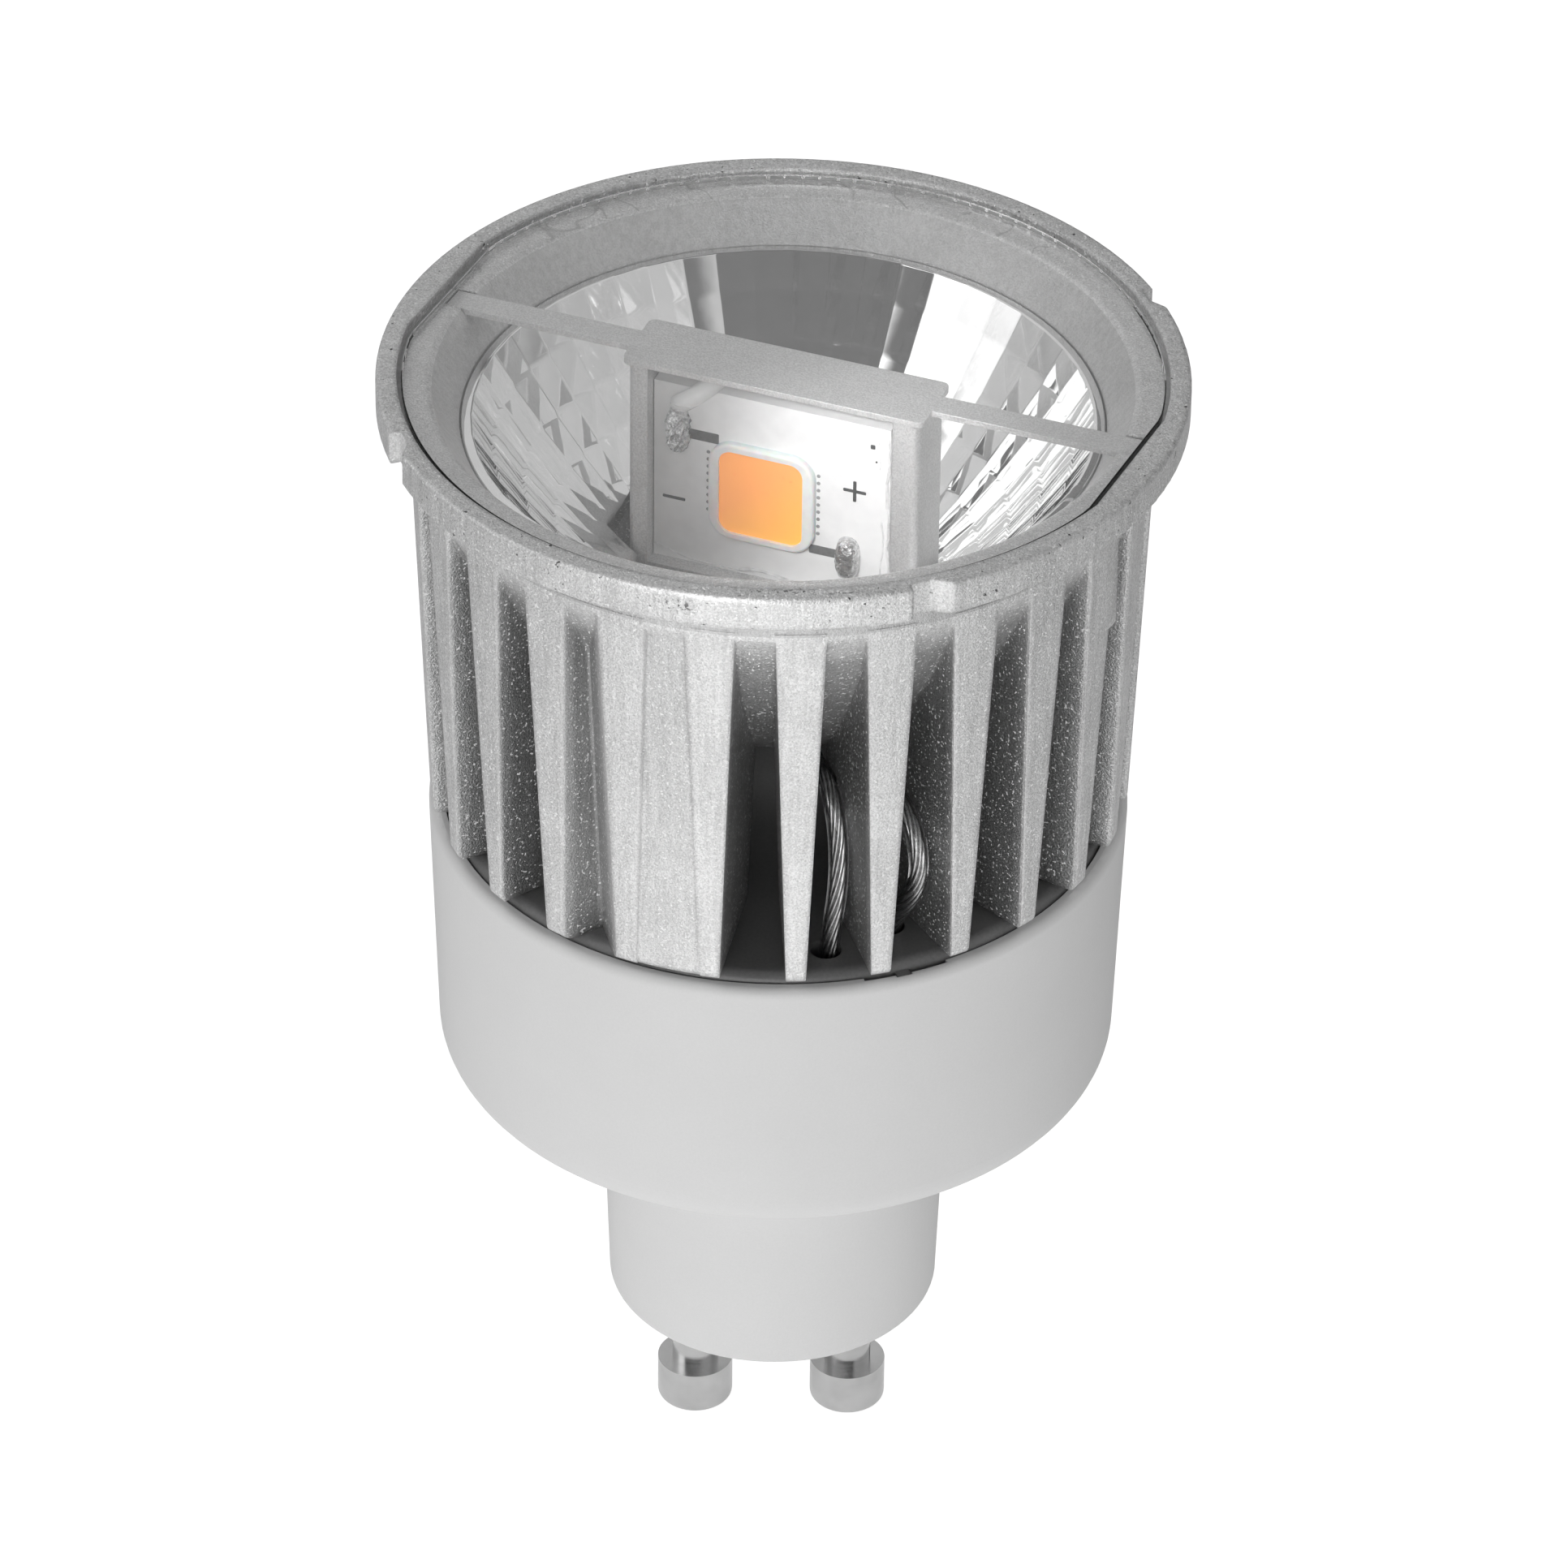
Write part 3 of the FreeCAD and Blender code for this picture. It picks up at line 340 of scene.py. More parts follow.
def solder():
    g = Graph("solder", Metallic=1.0, Roughness=0.22)
    wrinkle = g.noise(2600, 3.0, 0.6, distortion=1.2)
    g.set(g.shader, {"Base Color": g.ramp(wrinkle, (0.35, 0.55), (0.6, 0.85)),
                     "Normal": g.bump(wrinkle, 0.7, 0.0002)})
    return g.material


def tinned_strand():
    g = Graph("tinned_strand", Metallic=1.0, Roughness=0.25)
    g.set(g.shader, {"Base Color": g.ramp(g.noise(3000, 2.0), (0.3, 0.42), (0.7, 0.6)),
                     "Normal": g.bump(g.noise(5000, 1.0), 0.15, 0.00003)})
    return g.material


# The jacket is milky above this height in metres
MILKY_FROM_Z = 0.0755


def clear_jacket():
    """Clear insulation, turned milky by the soldering heat at its upper end."""
    g = Graph("clear_jacket", IOR=1.42)
    _, _, z = g.place()
    milky = g.math("MULTIPLY", g.math("SUBTRACT", z, MILKY_FROM_Z), 1500.0, clamp=True)
    cloud = g.noise(1300, 3.0)
    g.set(g.shader, {
        "Base Color": g.ramp(cloud, (0.3, 0.86), (0.7, 0.95)),
        "Transmission Weight": g.math("SUBTRACT", 1.0, g.math("MULTIPLY", milky, 0.7)),
        "Roughness": g.math("ADD", g.math("MULTIPLY", cloud, 0.12), g.math("MULTIPLY", milky, 0.25)),
        "Normal": g.bump(g.noise(1800, 2.0), 0.08, 0.0001),
    })
    return g.material


def housing_grey():
    g = Graph("housing_grey", Roughness=0.5, IOR=1.5)
    cloud = g.noise(70, 3.0, 0.6)
    fine = g.noise(7000, 2.0, 0.6)
    tone = g.multiply(g.ramp(cloud, (0.3, 0.72), (0.7, 0.75)), g.ramp(fine, (0.3, 0.97), (0.7, 1.0)))
    g.set(g.shader, {"Base Color": tone, "Normal": g.bump(fine, 0.12, 0.00003, g.rounded(0.00004))})
    return g.material


def cover_grey():
    g = Graph("cover_grey", Roughness=0.38)
    fine = g.noise(5000, 2.0, 0.6)
    grainy = g.ramp(fine, (0.3, 0.15), (0.7, 0.18))
    tone = g.multiply(grainy, g.ramp(g.noise(200, 2.0), (0.3, 0.88), (0.7, 1.0)))
    g.set(g.shader, {"Base Color": tone, "Normal": g.bump(fine, 0.15, 0.00004, g.rounded(0.00015))})
    return g.material


def nickel():
    g = Graph("nickel", Metallic=1.0)
    turned = g.noise(60, 2.0, 0.6, vector=g.stretched(1, 1, 60))
    g.set(g.shader, {"Base Color": g.ramp(g.noise(500, 2.0), (0.3, 0.58), (0.7, 0.68)),
                     "Roughness": g.ramp(turned, (0.3, 0.14), (0.7, 0.26)),
                     "Normal": g.bump(turned, 0.08, 0.00005)})
    return g.material


def steel():
    g = Graph("steel", Metallic=1.0, Roughness=0.35)
    g.set(g.shader, {"Base Color": g.ramp(g.noise(900, 3.0), (0.3, 0.5), (0.7, 0.62)),
                     "Normal": g.bump(g.noise(3000, 2.0), 0.2, 0.00005)})
    return g.material


def plain(name, low, high, roughness, scale, strength=0.2):
    """Two close tones in a fine noise, with a matching bump."""
    g = Graph(name, Roughness=roughness)
    grain = g.noise(scale, 3.0, 0.6)
    g.set(g.shader, {"Base Color": g.ramp(grain, (0.3, low), (0.7, high)),
                     "Normal": g.bump(grain, strength, 0.0001)})
    return g.material


finishes = {
    "cast_silver": cast_silver(),
    "bridge_grey": bridge_grey(),
    "clear_glass": clear_glass(),
    "clear_sealant": clear_sealant(),
    "reflector_metal": reflector_metal(),
    "white_ceramic": white_ceramic(),
    "white_paste": white_paste(),
    "white_silicone": white_silicone(),
    "phosphor": phosphor(),
    "solder": solder(),
    "clear_lead": clear_jacket(),
    "housing_grey": housing_grey(),
    "cover_grey": cover_grey(),
    "nickel": nickel(),
    "steel": steel(),
    "circuit_board": plain("circuit_board", (0.012, 0.07, 0.025), (0.02, 0.11, 0.04), 0.35, 900),
    "ferrite": plain("ferrite", 0.02, 0.04, 0.6, 2500, 0.4),
    "winding_tape": plain("winding_tape", (0.6, 0.4, 0.04), (0.75, 0.52, 0.07), 0.4, 600),
    "capacitor_sleeve": plain("capacitor_sleeve", 0.01, 0.02, 0.25, 400),
    "film_red": plain("film_red", (0.3, 0.02, 0.015), (0.42, 0.04, 0.02), 0.3, 800),
    "resistor_body": plain("resistor_body", (0.12, 0.3, 0.28), (0.18, 0.38, 0.34), 0.35, 800),
    "chip_black": plain("chip_black", 0.008, 0.02, 0.5, 3000, 0.4),
    "wire_white": plain("wire_white", 0.6, 0.75, 0.35, 900),
}
strand_finish = tinned_strand()
print_grey = plain("print_grey", 0.10, 0.16, 0.5, 3000)
print_pale = plain("print_pale", 0.2, 0.34, 0.5, 5200)
print_black = plain("print_black", 0.02, 0.05, 0.5, 3000)

slots = {part["node"]: part["material_slot"] for part in frame["record"]["subparts"]}
for name, obj in nodes.items():
    obj.data.materials.clear()
    obj.data.materials.append(finishes[slots[name]])


# Frame of the LED bridge: X along the bar, -Y is the side that shines

BRIDGE_TURN = Matrix.Rotation(math.radians(-20.7), 4, "Z")
BOARD_Y = 0.2


def piece(name, finish, mesh, smooth=True):
    """An object of the lamp made here, in metres and in the lamp's frame."""
    obj = bpy.data.objects.new(name, mesh)
    bpy.context.scene.collection.objects.link(obj)
    mesh.materials.append(finish)
    if smooth:
        mesh.polygons.foreach_set("use_smooth", [True] * len(mesh.polygons))
    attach(obj, "root")
    return obj


def mesh_of(name, bm, turn=None):
    """A mesh in metres from one drawn in millimetres."""
    bmesh.ops.recalc_face_normals(bm, faces=bm.faces)
    mesh = bpy.data.meshes.new(name)
    bm.to_mesh(mesh)
    bm.free()
    mesh.transform((turn or Matrix.Identity(4)) @ Matrix.Scale(MM, 4))
    return mesh


# Reflector: rows of slightly cushioned facets. These sizes are those of part.py, where ROW_START isn't
# named but follows from the top row.

SECTORS = 51
SECTOR_PHASE = 4.08
ROW = 1.9
ROW_START = 8.35
NECK_R = 9.3
MOUTH_R = 19.2
FLANGE_R = 19.8
TOP_Z = 76.1
SEAT_Z = 75.3
DISH_DEPTH = 11.9
DISH_K = DISH_DEPTH / (MOUTH_R ** 2 - NECK_R ** 2)
SHELL_DROP = 1.0

# The flange's edges, and the radii of the plain outer side
LIP_W = 0.12
LIP_DROP = 0.02
FLANGE_ARRIS = 0.1
SHELL_RADII = (18.5, 17.0, 15.5, 14.0, 12.5, 11.0, 9.9)

# The cushion of a facet, and where its rows and columns of vertices lie. Only the scene has them.
CUSHION_AROUND = 0.018
CUSHION_DOWN = 0.018
CELL_STEPS = (0.0, 0.07, 0.15, 0.32, 0.5, 0.68, 0.85, 0.93)


def dish_z(r):
    return TOP_Z + DISH_K * (r * r - MOUTH_R * MOUTH_R)


def dish_corner(r, degrees):
    a = math.radians(degrees)
    return Vector((r * math.cos(a), r * math.sin(a), dish_z(r)))


def dish_normal(r, degrees):
    a = math.radians(degrees)
    slope = 2 * DISH_K * r
    return Vector((-slope * math.cos(a), -slope * math.sin(a), 1.0)).normalized()


def facet_point(r, k, u):
    """A point of the bright side: flat facets between the seams, each with a slight cushion."""
    pitch = 360 / SECTORS
    left = SECTOR_PHASE + k * pitch
    low = ROW_START + ROW * math.floor((r - ROW_START) / ROW + 1e-6)
    v = (r - low) / ROW
    lower = dish_corner(low, left).lerp(dish_corner(low, left + pitch), u)
    upper = dish_corner(low + ROW, left).lerp(dish_corner(low + ROW, left + pitch), u)
    rise = CUSHION_AROUND * (1 - (2 * u - 1) ** 2) + CUSHION_DOWN * (1 - (2 * v - 1) ** 2)
    return lower.lerp(upper, v) + dish_normal(r, left + pitch * u) * rise


def join_rings(bm, a, b):
    """Faces between two closed rings with the same number of vertices."""
    count = len(a)
    for k in range(count):
        n = (k + 1) % count
        bm.faces.new((a[k], a[n], b[n], b[k]))


def facet_grid(bm):
    """Rows of vertices of the bright side, from the neck up to the mouth."""
    radii = [NECK_R]
    i = 0
    while radii[-1] < MOUTH_R:
        r = ROW_START + ROW * (i // len(CELL_STEPS) + CELL_STEPS[i % len(CELL_STEPS)])
        if r > NECK_R + 0.02:
            radii.append(min(r, MOUTH_R))
        i += 1
    rows = []
    for r in radii:
        rows.append([bm.verts.new(facet_point(r, k, u)) for k in range(SECTORS) for u in CELL_STEPS])
    for lower, upper in zip(rows, rows[1:]):
        join_rings(bm, lower, upper)
    return rows


def ring_of(bm, r, z):
    """A ring of vertices in step with the facet grid's columns."""
    made = []
    for k in range(SECTORS):
        for u in CELL_STEPS:
            a = math.radians(SECTOR_PHASE + 360 / SECTORS * (k + u))
            made.append(bm.verts.new((r * math.cos(a), r * math.sin(a), z)))
    return made


def reflector_mesh():
    bm = bmesh.new()
    rows = facet_grid(bm)
    profile = [
        (MOUTH_R + LIP_W, TOP_Z - LIP_DROP),
        (FLANGE_R - FLANGE_ARRIS, TOP_Z),
        (FLANGE_R, TOP_Z - FLANGE_ARRIS),
        (FLANGE_R, SEAT_Z),
        (math.sqrt(MOUTH_R ** 2 + (SEAT_Z + SHELL_DROP - TOP_Z) / DISH_K), SEAT_Z),
    ]
    profile += [(r, dish_z(r) - SHELL_DROP) for r in (*SHELL_RADII, NECK_R)]
    last = rows[-1]
    for r, z in profile:
        ring = ring_of(bm, r, z)
        join_rings(bm, last, ring)
        last = ring
    join_rings(bm, last, rows[0])
    return mesh_of("reflector_dish", bm)


dish = piece("reflector_dish", finishes["reflector_metal"], reflector_mesh())
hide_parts("reflector")


def cutter(name, x0, x1, y0, y1, z0, z1):
    bm = bmesh.new()
    bmesh.ops.create_cube(bm, size=1.0)
    for v in bm.verts:
        v.co = Vector(((x0 + x1) / 2 + v.co.x * (x1 - x0), (y0 + y1) / 2 + v.co.y * (y1 - y0),
                       (z0 + z1) / 2 + v.co.z * (z1 - z0)))
    obj = bpy.data.objects.new(name, mesh_of(name, bm, turn=BRIDGE_TURN))
    bpy.context.scene.collection.objects.link(obj)
    return obj


def cut(obj, tool):
    """Takes the tool's space out of the piece, for good, and removes the tool."""
    modifier = obj.modifiers.new("cut", "BOOLEAN")
    modifier.operation = "DIFFERENCE"
    modifier.solver = "EXACT"
    modifier.object = tool
    depsgraph = bpy.context.evaluated_depsgraph_get()
    made = bpy.data.meshes.new_from_object(obj.evaluated_get(depsgraph))
    obj.modifiers.clear()
    obj.data = made
    bpy.data.objects.remove(tool)


# The dish's slot for the bridge's post: its x, y and z ranges in the bridge frame
SLOT = (-11.2, 10.4, -1.05, 3.95, 60.0, 76.5)
cut(dish, cutter("slot_tool", *SLOT))


# Front glass, lying just clear of the casting's ledge

GLASS_R = 23.43
GLASS_FLAT = 22.75
FLAT_TURN = -24.3
GLASS_AIR = 0.04
GLASS_ARRIS = 0.08


def glass_ring(bm, inset, z, count=192):
    made = []
    for k in range(count):
        a = 2 * math.pi * k / count
        r = min(GLASS_R, GLASS_FLAT / max(abs(math.cos(a - math.radians(FLAT_TURN))), 0.1)) - inset
        made.append(bm.verts.new((r * math.cos(a), r * math.sin(a), z)))
    return made


def glass_mesh():
    low, high = (v.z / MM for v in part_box("front_glass"))
    bm = bmesh.new()
    levels = (
        (GLASS_ARRIS, low + GLASS_AIR),
        (0, low + GLASS_AIR + GLASS_ARRIS),
        (0, high - GLASS_ARRIS),
        (GLASS_ARRIS, high),
    )
    rings = [glass_ring(bm, inset, z) for inset, z in levels]
    for a, b in zip(rings, rings[1:]):
        join_rings(bm, a, b)
    bm.faces.new(rings[0])
    bm.faces.new(rings[-1])
    return mesh_of("glass_disc", bm)


glass = piece("glass_disc", finishes["clear_glass"], glass_mesh(), smooth=False)
glass.visible_shadow = False
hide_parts("front_glass")


# Leads: twisted bright strands in a clear jacket, on the routes of part.py

LEAD_MINUS = [
    (2.40, -3.42, 41.60), (2.50, -8.00, 42.80), (3.20, -15.10, 44.65), (3.22, -18.00, 46.65),
    (3.27, -18.05, 50.30), (3.72, -18.10, 53.65), (3.78, -17.50, 56.45), (3.50, -16.80, 58.95),
    (3.00, -15.40, 60.35), (2.36, -13.30, 59.75), (1.60, -9.00, 59.45), (0.20, -1.50, 58.85),
    (-1.41, 5.88, 59.60), (-1.33, 6.38, 63.80), (-2.03, 5.66, 68.30), (-2.35, 5.67, 73.10),
    (-2.44, 5.71, 77.35), (-4.62, 0.78, 77.35), (-6.54, 1.80, 75.70),
]
LEAD_PLUS = [
    (5.60, -3.42, 40.60), (5.90, -8.00, 41.60), (6.60, -13.60, 44.65), (6.95, -15.50, 47.35),
    (7.05, -15.55, 49.90), (8.30, -17.50, 53.05), (8.80, -18.20, 55.85), (8.20, -17.00, 58.45),
    (6.80, -14.90, 59.55), (5.43, -12.26, 59.75), (4.05, -9.10, 59.55), (2.98, -5.40, 59.80),
    (3.14, -4.71, 63.10), (3.88, -2.03, 64.90),
]
LEAD_R = 0.625
STRANDS = 6
STRAND_R = 0.115
LAY_R = 0.21
LAY_PITCH = 8.5
CORE_R = LAY_R * 0.8
JACKET_SIDES = 20
STRAND_SIDES = 8
CORE_SIDES = 10


def smooth_line(points):
    """Points along one smooth curve through the route, and the frame at each of them."""
    curve = bpy.data.curves.new("route", "CURVE")
    curve.dimensions = "3D"
    curve.resolution_u = 12
    spline = curve.splines.new("NURBS")
    spline.points.add(len(points) - 1)
    for p, co in zip(spline.points, points):
        p.co = (*co, 1)
    spline.order_u = 3
    spline.use_endpoint_u = True
    obj = bpy.data.objects.new("route", curve)
    mesh = bpy.data.meshes.new_from_object(obj)
    line = [v.co.copy() for v in mesh.vertices]
    bpy.data.objects.remove(obj)
    bpy.data.curves.remove(curve)
    bpy.data.meshes.remove(mesh)
    frames = []
    tangent = (line[1] - line[0]).normalized()
    across = tangent.orthogonal().normalized()
    for i, p in enumerate(line):
        ahead = line[min(i + 1, len(line) - 1)] - line[max(i - 1, 0)]
        ahead.normalize()
        across = (across - ahead * across.dot(ahead)).normalized()
        frames.append((p, across.copy(), ahead.cross(across)))
    return frames


def tube(bm, centres, sides):
    """A closed tube round a list of (centre, across, beside, radius)."""
    rings = []
    for centre, across, beside, radius in centres:
        ring = []
        for k in range(sides):
            a = 2 * math.pi * k / sides
            ring.append(bm.verts.new(centre + (across * math.cos(a) + beside * math.sin(a)) * radius))
        rings.append(ring)
    for a, b in zip(rings, rings[1:]):
        join_rings(bm, a, b)
    bm.faces.new(rings[0])
    bm.faces.new(rings[-1])


def lead(name, points, node, phase, strands_below=100.0):
    """One lead; its strands are out of sight above the height given."""
    frames = smooth_line(points)
    jacket = bmesh.new()
    tube(jacket, [(p, a, b, LEAD_R) for p, a, b in frames], JACKET_SIDES)
    jacket_mesh = mesh_of(name + "_jacket", jacket)
    outside = piece(name + "_jacket", finishes["clear_lead"], jacket_mesh)
    outside.visible_shadow = False
    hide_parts(node)
    top = next((i for i, frame_at in enumerate(frames) if frame_at[0].z > strands_below), len(frames))
    frames = frames[:top]
    core = bmesh.new()
    travel = 0.0
    turns = []
    for i, (p, _, _) in enumerate(frames):
        if i:
            travel += (p - frames[i - 1][0]).length
        turns.append(2 * math.pi * travel / LAY_PITCH + phase)
    for s in range(STRANDS):
        centres = []
        for (p, a, b), t in zip(frames, turns):
            angle = t + 2 * math.pi * s / STRANDS
            out = a * math.cos(angle) + b * math.sin(angle)
            centres.append((p + out * LAY_R, a, b, STRAND_R))
        tube(core, centres, STRAND_SIDES)
    tube(core, [(p, a, b, CORE_R) for p, a, b in frames], CORE_SIDES)
    piece(name + "_strands", strand_finish, mesh_of(name + "_strands", core))


lead("lead_minus", LEAD_MINUS, "led_lead_minus", 0.3, strands_below=75.8)
lead("lead_plus", LEAD_PLUS, "led_lead_plus", 1.1)


# What is printed and soldered on the LED board

PRINT_T = 0.03


def plate(bm, outline):
    """Flat shape on the LED board's face, from (x, z) corners in the bridge frame."""
    front = [bm.verts.new((x, BOARD_Y - PRINT_T, z)) for x, z in outline]
    rear = [bm.verts.new((x, BOARD_Y, z)) for x, z in outline]
    bm.faces.new(front)
    join_rings(bm, front, rear)


def round_outline(x, z, r, count=14):
    return [(x + r * math.cos(2 * math.pi * k / count), z + r * math.sin(2 * math.pi * k / count))
            for k in range(count)]


def bar_outline(x0, x1, z0, z1, bevel=0.04):
    return [(x0 + bevel, z0), (x1 - bevel, z0), (x1, z0 + bevel), (x1, z1 - bevel),
            (x1 - bevel, z1), (x0 + bevel, z1), (x0, z1 - bevel), (x0, z0 + bevel)]


traces = bmesh.new()
plate(traces, bar_outline(-6.4, -4.3, 72.9, 73.62))
plate(traces, bar_outline(1.75, 3.8, 66.42, 67.05))
piece("board_traces", print_grey, mesh_of("board_traces", traces, turn=BRIDGE_TURN), smooth=False)

marks = bmesh.new()
plate(marks, bar_outline(-8.0, -6.5, 68.15, 68.35))
plate(marks, bar_outline(3.95, 5.45, 71.55, 71.76))
plate(marks, bar_outline(4.6, 4.81, 70.9, 72.4))
plate(marks, bar_outline(5.7, 6.0, 75.05, 75.35))
plate(marks, round_outline(6.1, 74.15, 0.07))
piece("board_marks", print_black, mesh_of("board_marks", marks, turn=BRIDGE_TURN), smooth=False)

DOT_COLUMNS = (-4.98, 2.32)
DOTS = 9
DOT_LOW_Z = 67.95
DOT_PITCH = 0.53
DOT_R = 0.12
dots = bmesh.new()
for x in DOT_COLUMNS:
    for k in range(DOTS):
        plate(dots, round_outline(x, DOT_LOW_Z + DOT_PITCH * k, DOT_R))
piece("board_via_dots", print_pale, mesh_of("board_via_dots", dots, turn=BRIDGE_TURN), smooth=False)


# How square a bead is at its sides and its front, and how much of its wrinkling moves its sides
BEAD_SIDES = 2.6
BEAD_FRONT = 2.2
BEAD_SIDE_WRINKLE = 0.4


def solder_bead(name, node, x, z, width, height, rise, wrinkle, grain):
    """Rounded bead on its pad, from its middle and size on the board."""
    bm = bmesh.new()
    bmesh.ops.create_icosphere(bm, subdivisions=5, radius=1.0)
    for v in bm.verts:
        d = v.co.normalized()
        across, out, along = (abs(part) for part in d)
        d = d * (across ** BEAD_SIDES + along ** BEAD_SIDES + out ** BEAD_FRONT) ** (-1 / BEAD_SIDES)
        at = Vector((d.x * grain, d.y * grain, d.z * grain * height / width))
        bump = 1 + wrinkle * noise.fractal(at, 0.8, 2.0, 3)
        y = min(d.y * rise * bump, 0.0)
        wider = 1 + (bump - 1) * BEAD_SIDE_WRINKLE
        v.co = Vector((x + d.x * width / 2 * wider, BOARD_Y + y, z + d.z * height / 2))
    bead = piece(name, finishes["solder"], mesh_of(name, bm, turn=BRIDGE_TURN))
    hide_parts(node)


solder_bead("solder_bead_minus", "solder_joint_minus", x=-6.95, z=73.5,
            width=1.5, height=3.4, rise=0.85, wrinkle=0.42, grain=2.4)
solder_bead("solder_bead_plus", "solder_joint_plus", x=4.35, z=66.7,
            width=1.6, height=3.0, rise=0.9, wrinkle=0.12, grain=1.6)


# White paste pressed out round the board

PASTE_STEPS = 6
PASTE_WANDER = 0.12
PASTE_SIDES = 10


def paste_worm(bm, points, radius):
    """Thin uneven ridge through (x, z) points on the board's plane."""
    line = []
    for (x0, z0), (x1, z1) in zip(points, points[1:]):
        for k in range(PASTE_STEPS):
            line.append((x0 + (x1 - x0) * k / PASTE_STEPS, z0 + (z1 - z0) * k / PASTE_STEPS))
    centres = []
    for x, z in line:
        off = noise.noise(Vector((x * 1.3, z * 1.3, 3.1))) * PASTE_WANDER
        r = radius * (0.75 + 0.7 * abs(noise.noise(Vector((x * 2.1, z * 2.1, 9.7)))))
        centres.append((Vector((x + off, BOARD_Y + 0.02, z)), Vector((1, 0, 0)), Vector((0, 1, 0)), r))
    tube(bm, centres, PASTE_SIDES)


paste = bmesh.new()
paste_worm(paste, [(6.85, 76.0), (6.95, 74.0), (6.8, 72.0), (7.0, 70.0),
                   (6.9, 68.0), (7.05, 66.0), (6.9, 64.2)], 0.13)
paste_worm(paste, [(6.2, 75.6), (6.35, 74.6), (6.3, 73.4)], 0.05)
paste_worm(paste, [(6.55, 69.9), (6.6, 68.2), (6.45, 66.4), (6.6, 64.8)], 0.07)
paste_worm(paste, [(-8.5, 64.6), (-6.5, 64.0), (-4.5, 63.95), (-2.6, 63.9)], 0.12)
paste_worm(paste, [(-2.6, 64.05), (-1.9, 64.3), (-1.0, 64.25), (0.0, 64.1), (0.9, 63.95)], 0.34)
paste_mesh = mesh_of("paste_squeezed_out", paste, turn=BRIDGE_TURN)
piece("paste_squeezed_out", finishes["white_paste"], paste_mesh)


# Studio: a pale floor in a soft-lit room

def stage_mesh(name, corners, finish):
    mesh = bpy.data.meshes.new(name)
    mesh.from_pydata(corners, [], [tuple(range(len(corners)))])
    obj = bpy.data.objects.new(name, mesh)
    bpy.context.scene.collection.objects.link(obj)
    mesh.materials.append(finish)


# The floor's glow as the camera sees it, and the patch of it in front that lights the lamp
FLOOR_SEEN = 0.8
FLOOR_FRONT = 0.8
FLOOR_FRONT_AT = (-0.02, -0.12)
FLOOR_FRONT_REACH = 0.1


def floor_finish():
    """White floor that lights the lamp from a patch in front of it."""
    g = Graph("floor_white", Base_Color=(0.62, 0.62, 0.62), Roughness=0.8)
    x, y, _ = g.place()
    dx = g.math("DIVIDE", g.math("SUBTRACT", x, FLOOR_FRONT_AT[0]), FLOOR_FRONT_REACH)
    dy = g.math("DIVIDE", g.math("SUBTRACT", y, FLOOR_FRONT_AT[1]), FLOOR_FRONT_REACH)
    apart = g.math("ADD", g.math("MULTIPLY", dx, dx), g.math("MULTIPLY", dy, dy))
    front = g.math("MULTIPLY", g.math("EXPONENT", g.math("MULTIPLY", apart, -0.5)), FLOOR_FRONT)
    paths = g.tree.nodes.new("ShaderNodeLightPath")
    seen = g.math("MAXIMUM", paths.outputs["Is Camera Ray"], paths.outputs["Is Transmission Ray"])
    hidden = g.math("SUBTRACT", 1.0, seen)
    strength = g.math("ADD", g.math("MULTIPLY", seen, FLOOR_SEEN), g.math("MULTIPLY", hidden, front))
    g.set(g.shader, {"Emission Color": (1.0, 1.0, 1.0), "Emission Strength": strength})
    return g.material


FLOOR_END = 3
floor_corners = [(x * FLOOR_END, y * FLOOR_END, 0) for x, y in ((-1, -1), (1, -1), (1, 1), (-1, 1))]
stage_mesh("floor", floor_corners, floor_finish())


SPOT_SIZE = 0.003


def narrow_light(name, target, azimuth, elevation, distance, width, power):
    """A soft-edged spot on a place of the lamp."""
    data = bpy.data.lights.new(name, "SPOT")
    data.energy = power
    data.shadow_soft_size = SPOT_SIZE
    data.spot_size = 2 * math.atan(width / 2 / distance)
    data.spot_blend = 1.0
    obj = bpy.data.objects.new(name, data)
    away = direction(azimuth, elevation)
    turn_to = away.to_track_quat("Z", "Y").to_matrix().to_4x4()
    obj.matrix_world = Matrix.Translation(target + away * distance) @ turn_to
    bpy.context.scene.collection.objects.link(obj)


# It stands for the light that the dish throws on the right of the LED board
narrow_light("board_light", BRIDGE_TURN @ Vector((0.0072, 0.0, 0.0705)),
             azimuth=245, elevation=38, distance=0.6, width=0.026, power=8.5)

# The room as the reflector shows it: soft-edged zones, each an azimuth range and its edge,
# an elevation range and its edge, and a radiance. The glass's upper face doesn't mirror the front lobe.
# Azimuths run on from 80 to 440 degrees. ROOM is the radiance everywhere else.
AZIMUTH_START = 80.0
ROOM = 0.12
ZONES = (
    ("left_wall", 178, 215, 6, 13, 61, 6, 1.45),
    ("left_far", 152, 178, 6, 8, 60, 6, 0.6),
    ("back_left", 120, 152, 8, 8, 60, 6, 0.5),
    ("back_wall", 56, 120, 8, 8, 62, 6, 0.48),
    ("right_wall", 303, 416, 6, 10, 64, 6, 0.47),
    ("front_lobe", 243, 281, 26, -6, 23, 4, 4.2),
)


def soft_range(tree, value, low, high, edge):
    """1 between low and high, falling to 0 over the edge on both sides."""
    made = []
    for a, b in ((low - edge / 2, low + edge / 2), (high + edge / 2, high - edge / 2)):
        node = tree.nodes.new("ShaderNodeMapRange")
        node.interpolation_type = "SMOOTHSTEP"
        tree.links.new(value, node.inputs["Value"])
        node.inputs["From Min"].default_value = a
        node.inputs["From Max"].default_value = b
        made.append(node.outputs["Result"])
    return math_node(tree, "MULTIPLY", *made)


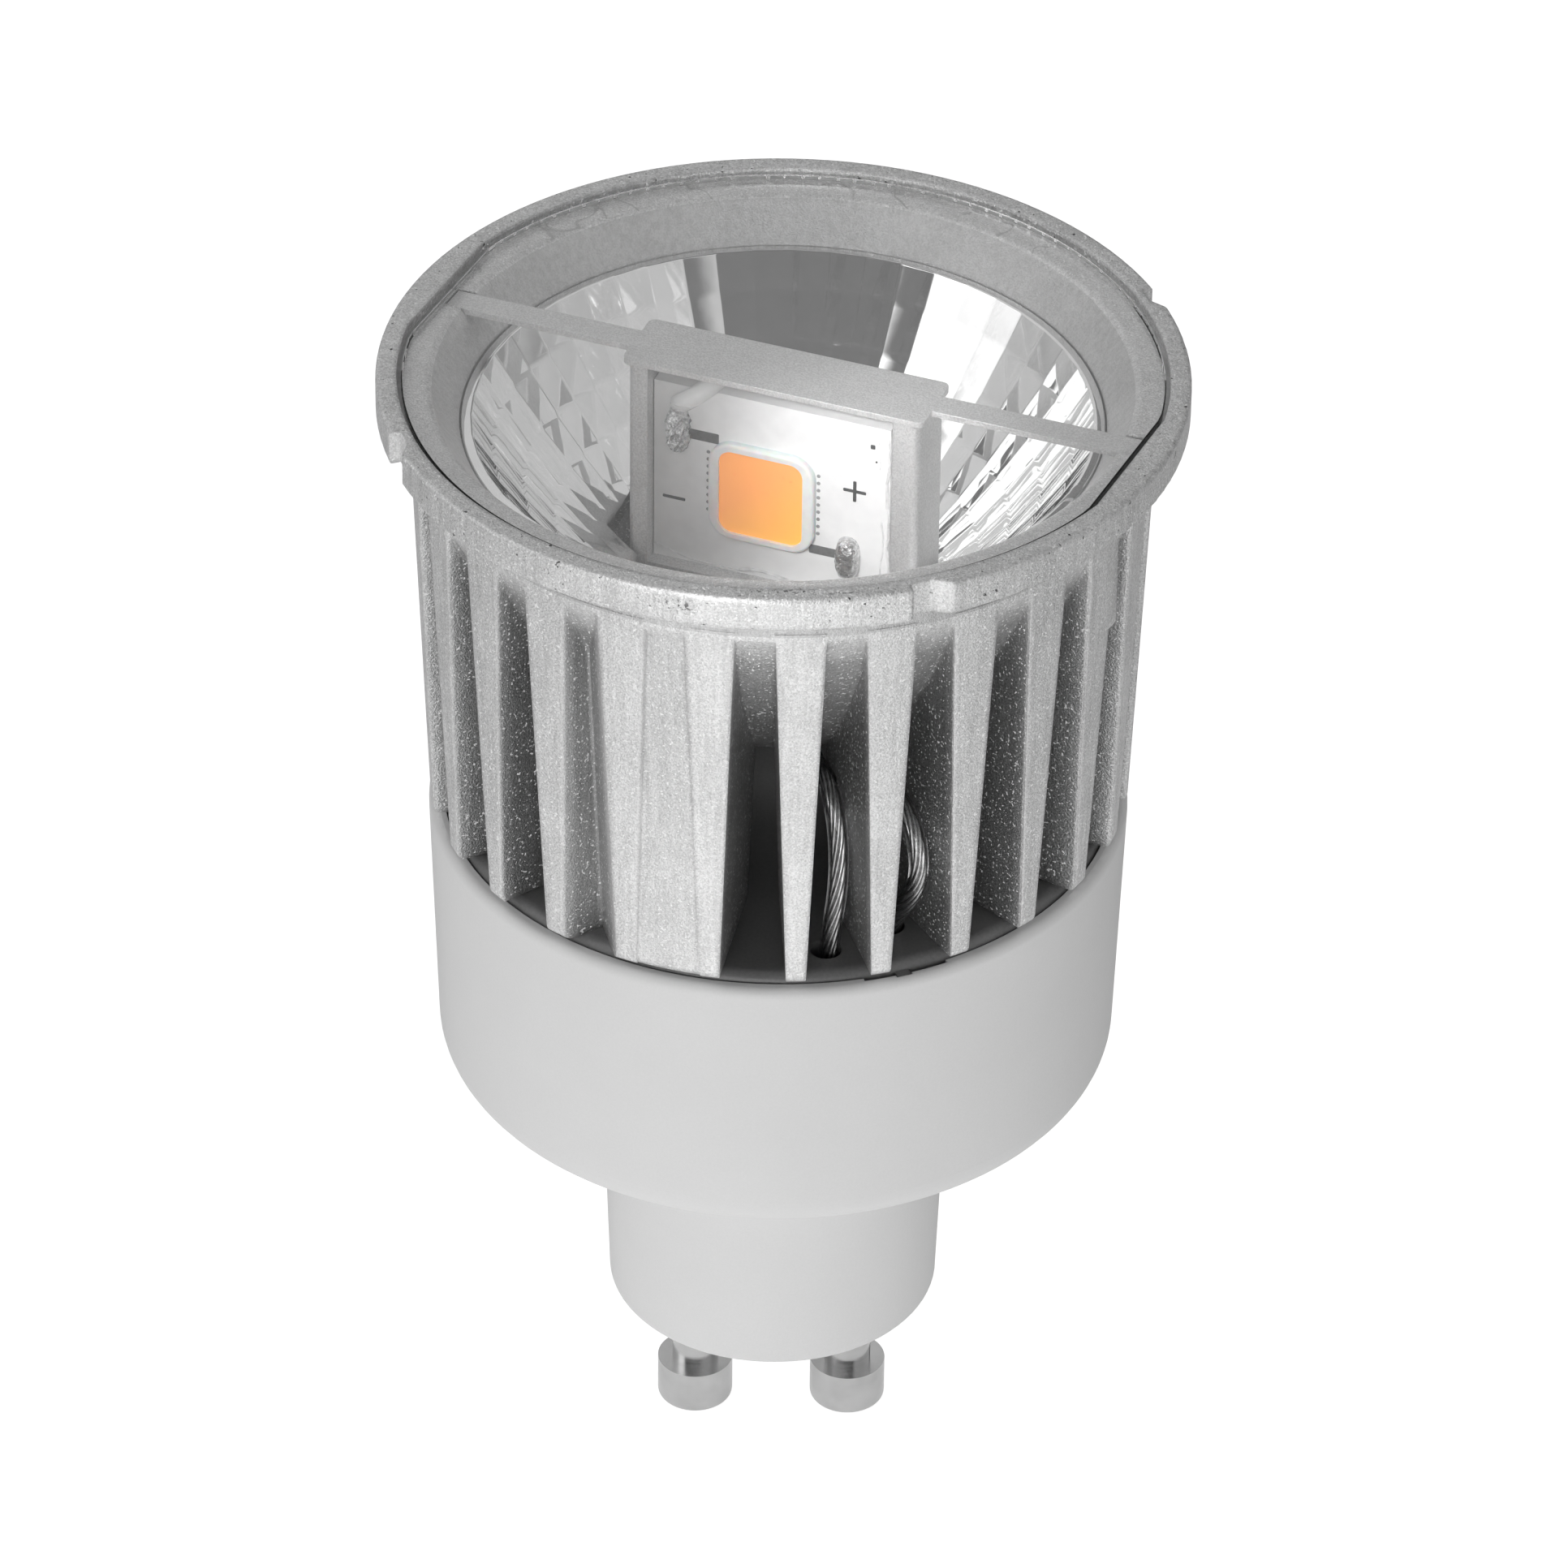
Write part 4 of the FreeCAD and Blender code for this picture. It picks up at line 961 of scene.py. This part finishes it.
def room(world):
    world.use_nodes = True
    tree = world.node_tree
    ray = tree.nodes.new("ShaderNodeTexCoord").outputs["Generated"]
    parts = tree.nodes.new("ShaderNodeSeparateXYZ")
    tree.links.new(ray, parts.inputs[0])
    x, y, z = parts.outputs
    from_back = math_node(tree, "ARCTAN2", math_node(tree, "MULTIPLY", x, -1.0), y)
    azimuth = math_node(tree, "ADD", math_node(tree, "MULTIPLY", from_back, math.degrees(1)), 90.0)
    low_side = math_node(tree, "LESS_THAN", azimuth, AZIMUTH_START)
    azimuth_wrapped = math_node(tree, "ADD", azimuth, math_node(tree, "MULTIPLY", low_side, 360.0))
    elevation = math_node(tree, "MULTIPLY", math_node(tree, "ARCSINE", z, 0.0), math.degrees(1))
    paths = tree.nodes.new("ShaderNodeLightPath")
    mirrored = math_node(tree, "MULTIPLY", paths.outputs["Is Singular Ray"],
                         paths.outputs["Is Reflection Ray"])
    total = ROOM
    for name, a0, a1, side_edge, e0, e1, top_edge, radiance in ZONES:
        mask = math_node(tree, "MULTIPLY", soft_range(tree, azimuth_wrapped, a0, a1, side_edge),
                   soft_range(tree, elevation, e0, e1, top_edge))
        if name == "front_lobe":
            mask = math_node(tree, "MULTIPLY", mask, math_node(tree, "SUBTRACT", 1.0, mirrored))
        total = math_node(tree, "ADD", total, math_node(tree, "MULTIPLY", mask, radiance))
    around = tree.nodes["Background"]
    tree.links.new(total, around.inputs["Strength"])
    around.inputs["Color"].default_value = (1, 1, 1, 1)
    white = tree.nodes.new("ShaderNodeBackground")
    white.inputs["Color"].default_value = (1, 1, 1, 1)
    mix = tree.nodes.new("ShaderNodeMixShader")
    tree.links.new(paths.outputs["Is Camera Ray"], mix.inputs["Fac"])
    tree.links.new(around.outputs["Background"], mix.inputs[1])
    tree.links.new(white.outputs["Background"], mix.inputs[2])
    tree.links.new(mix.outputs["Shader"], tree.nodes["World Output"].inputs["Surface"])


bpy.context.scene.world = bpy.data.worlds.new("studio")
room(bpy.context.scene.world)

nodes["glass_seal"].visible_shadow = False
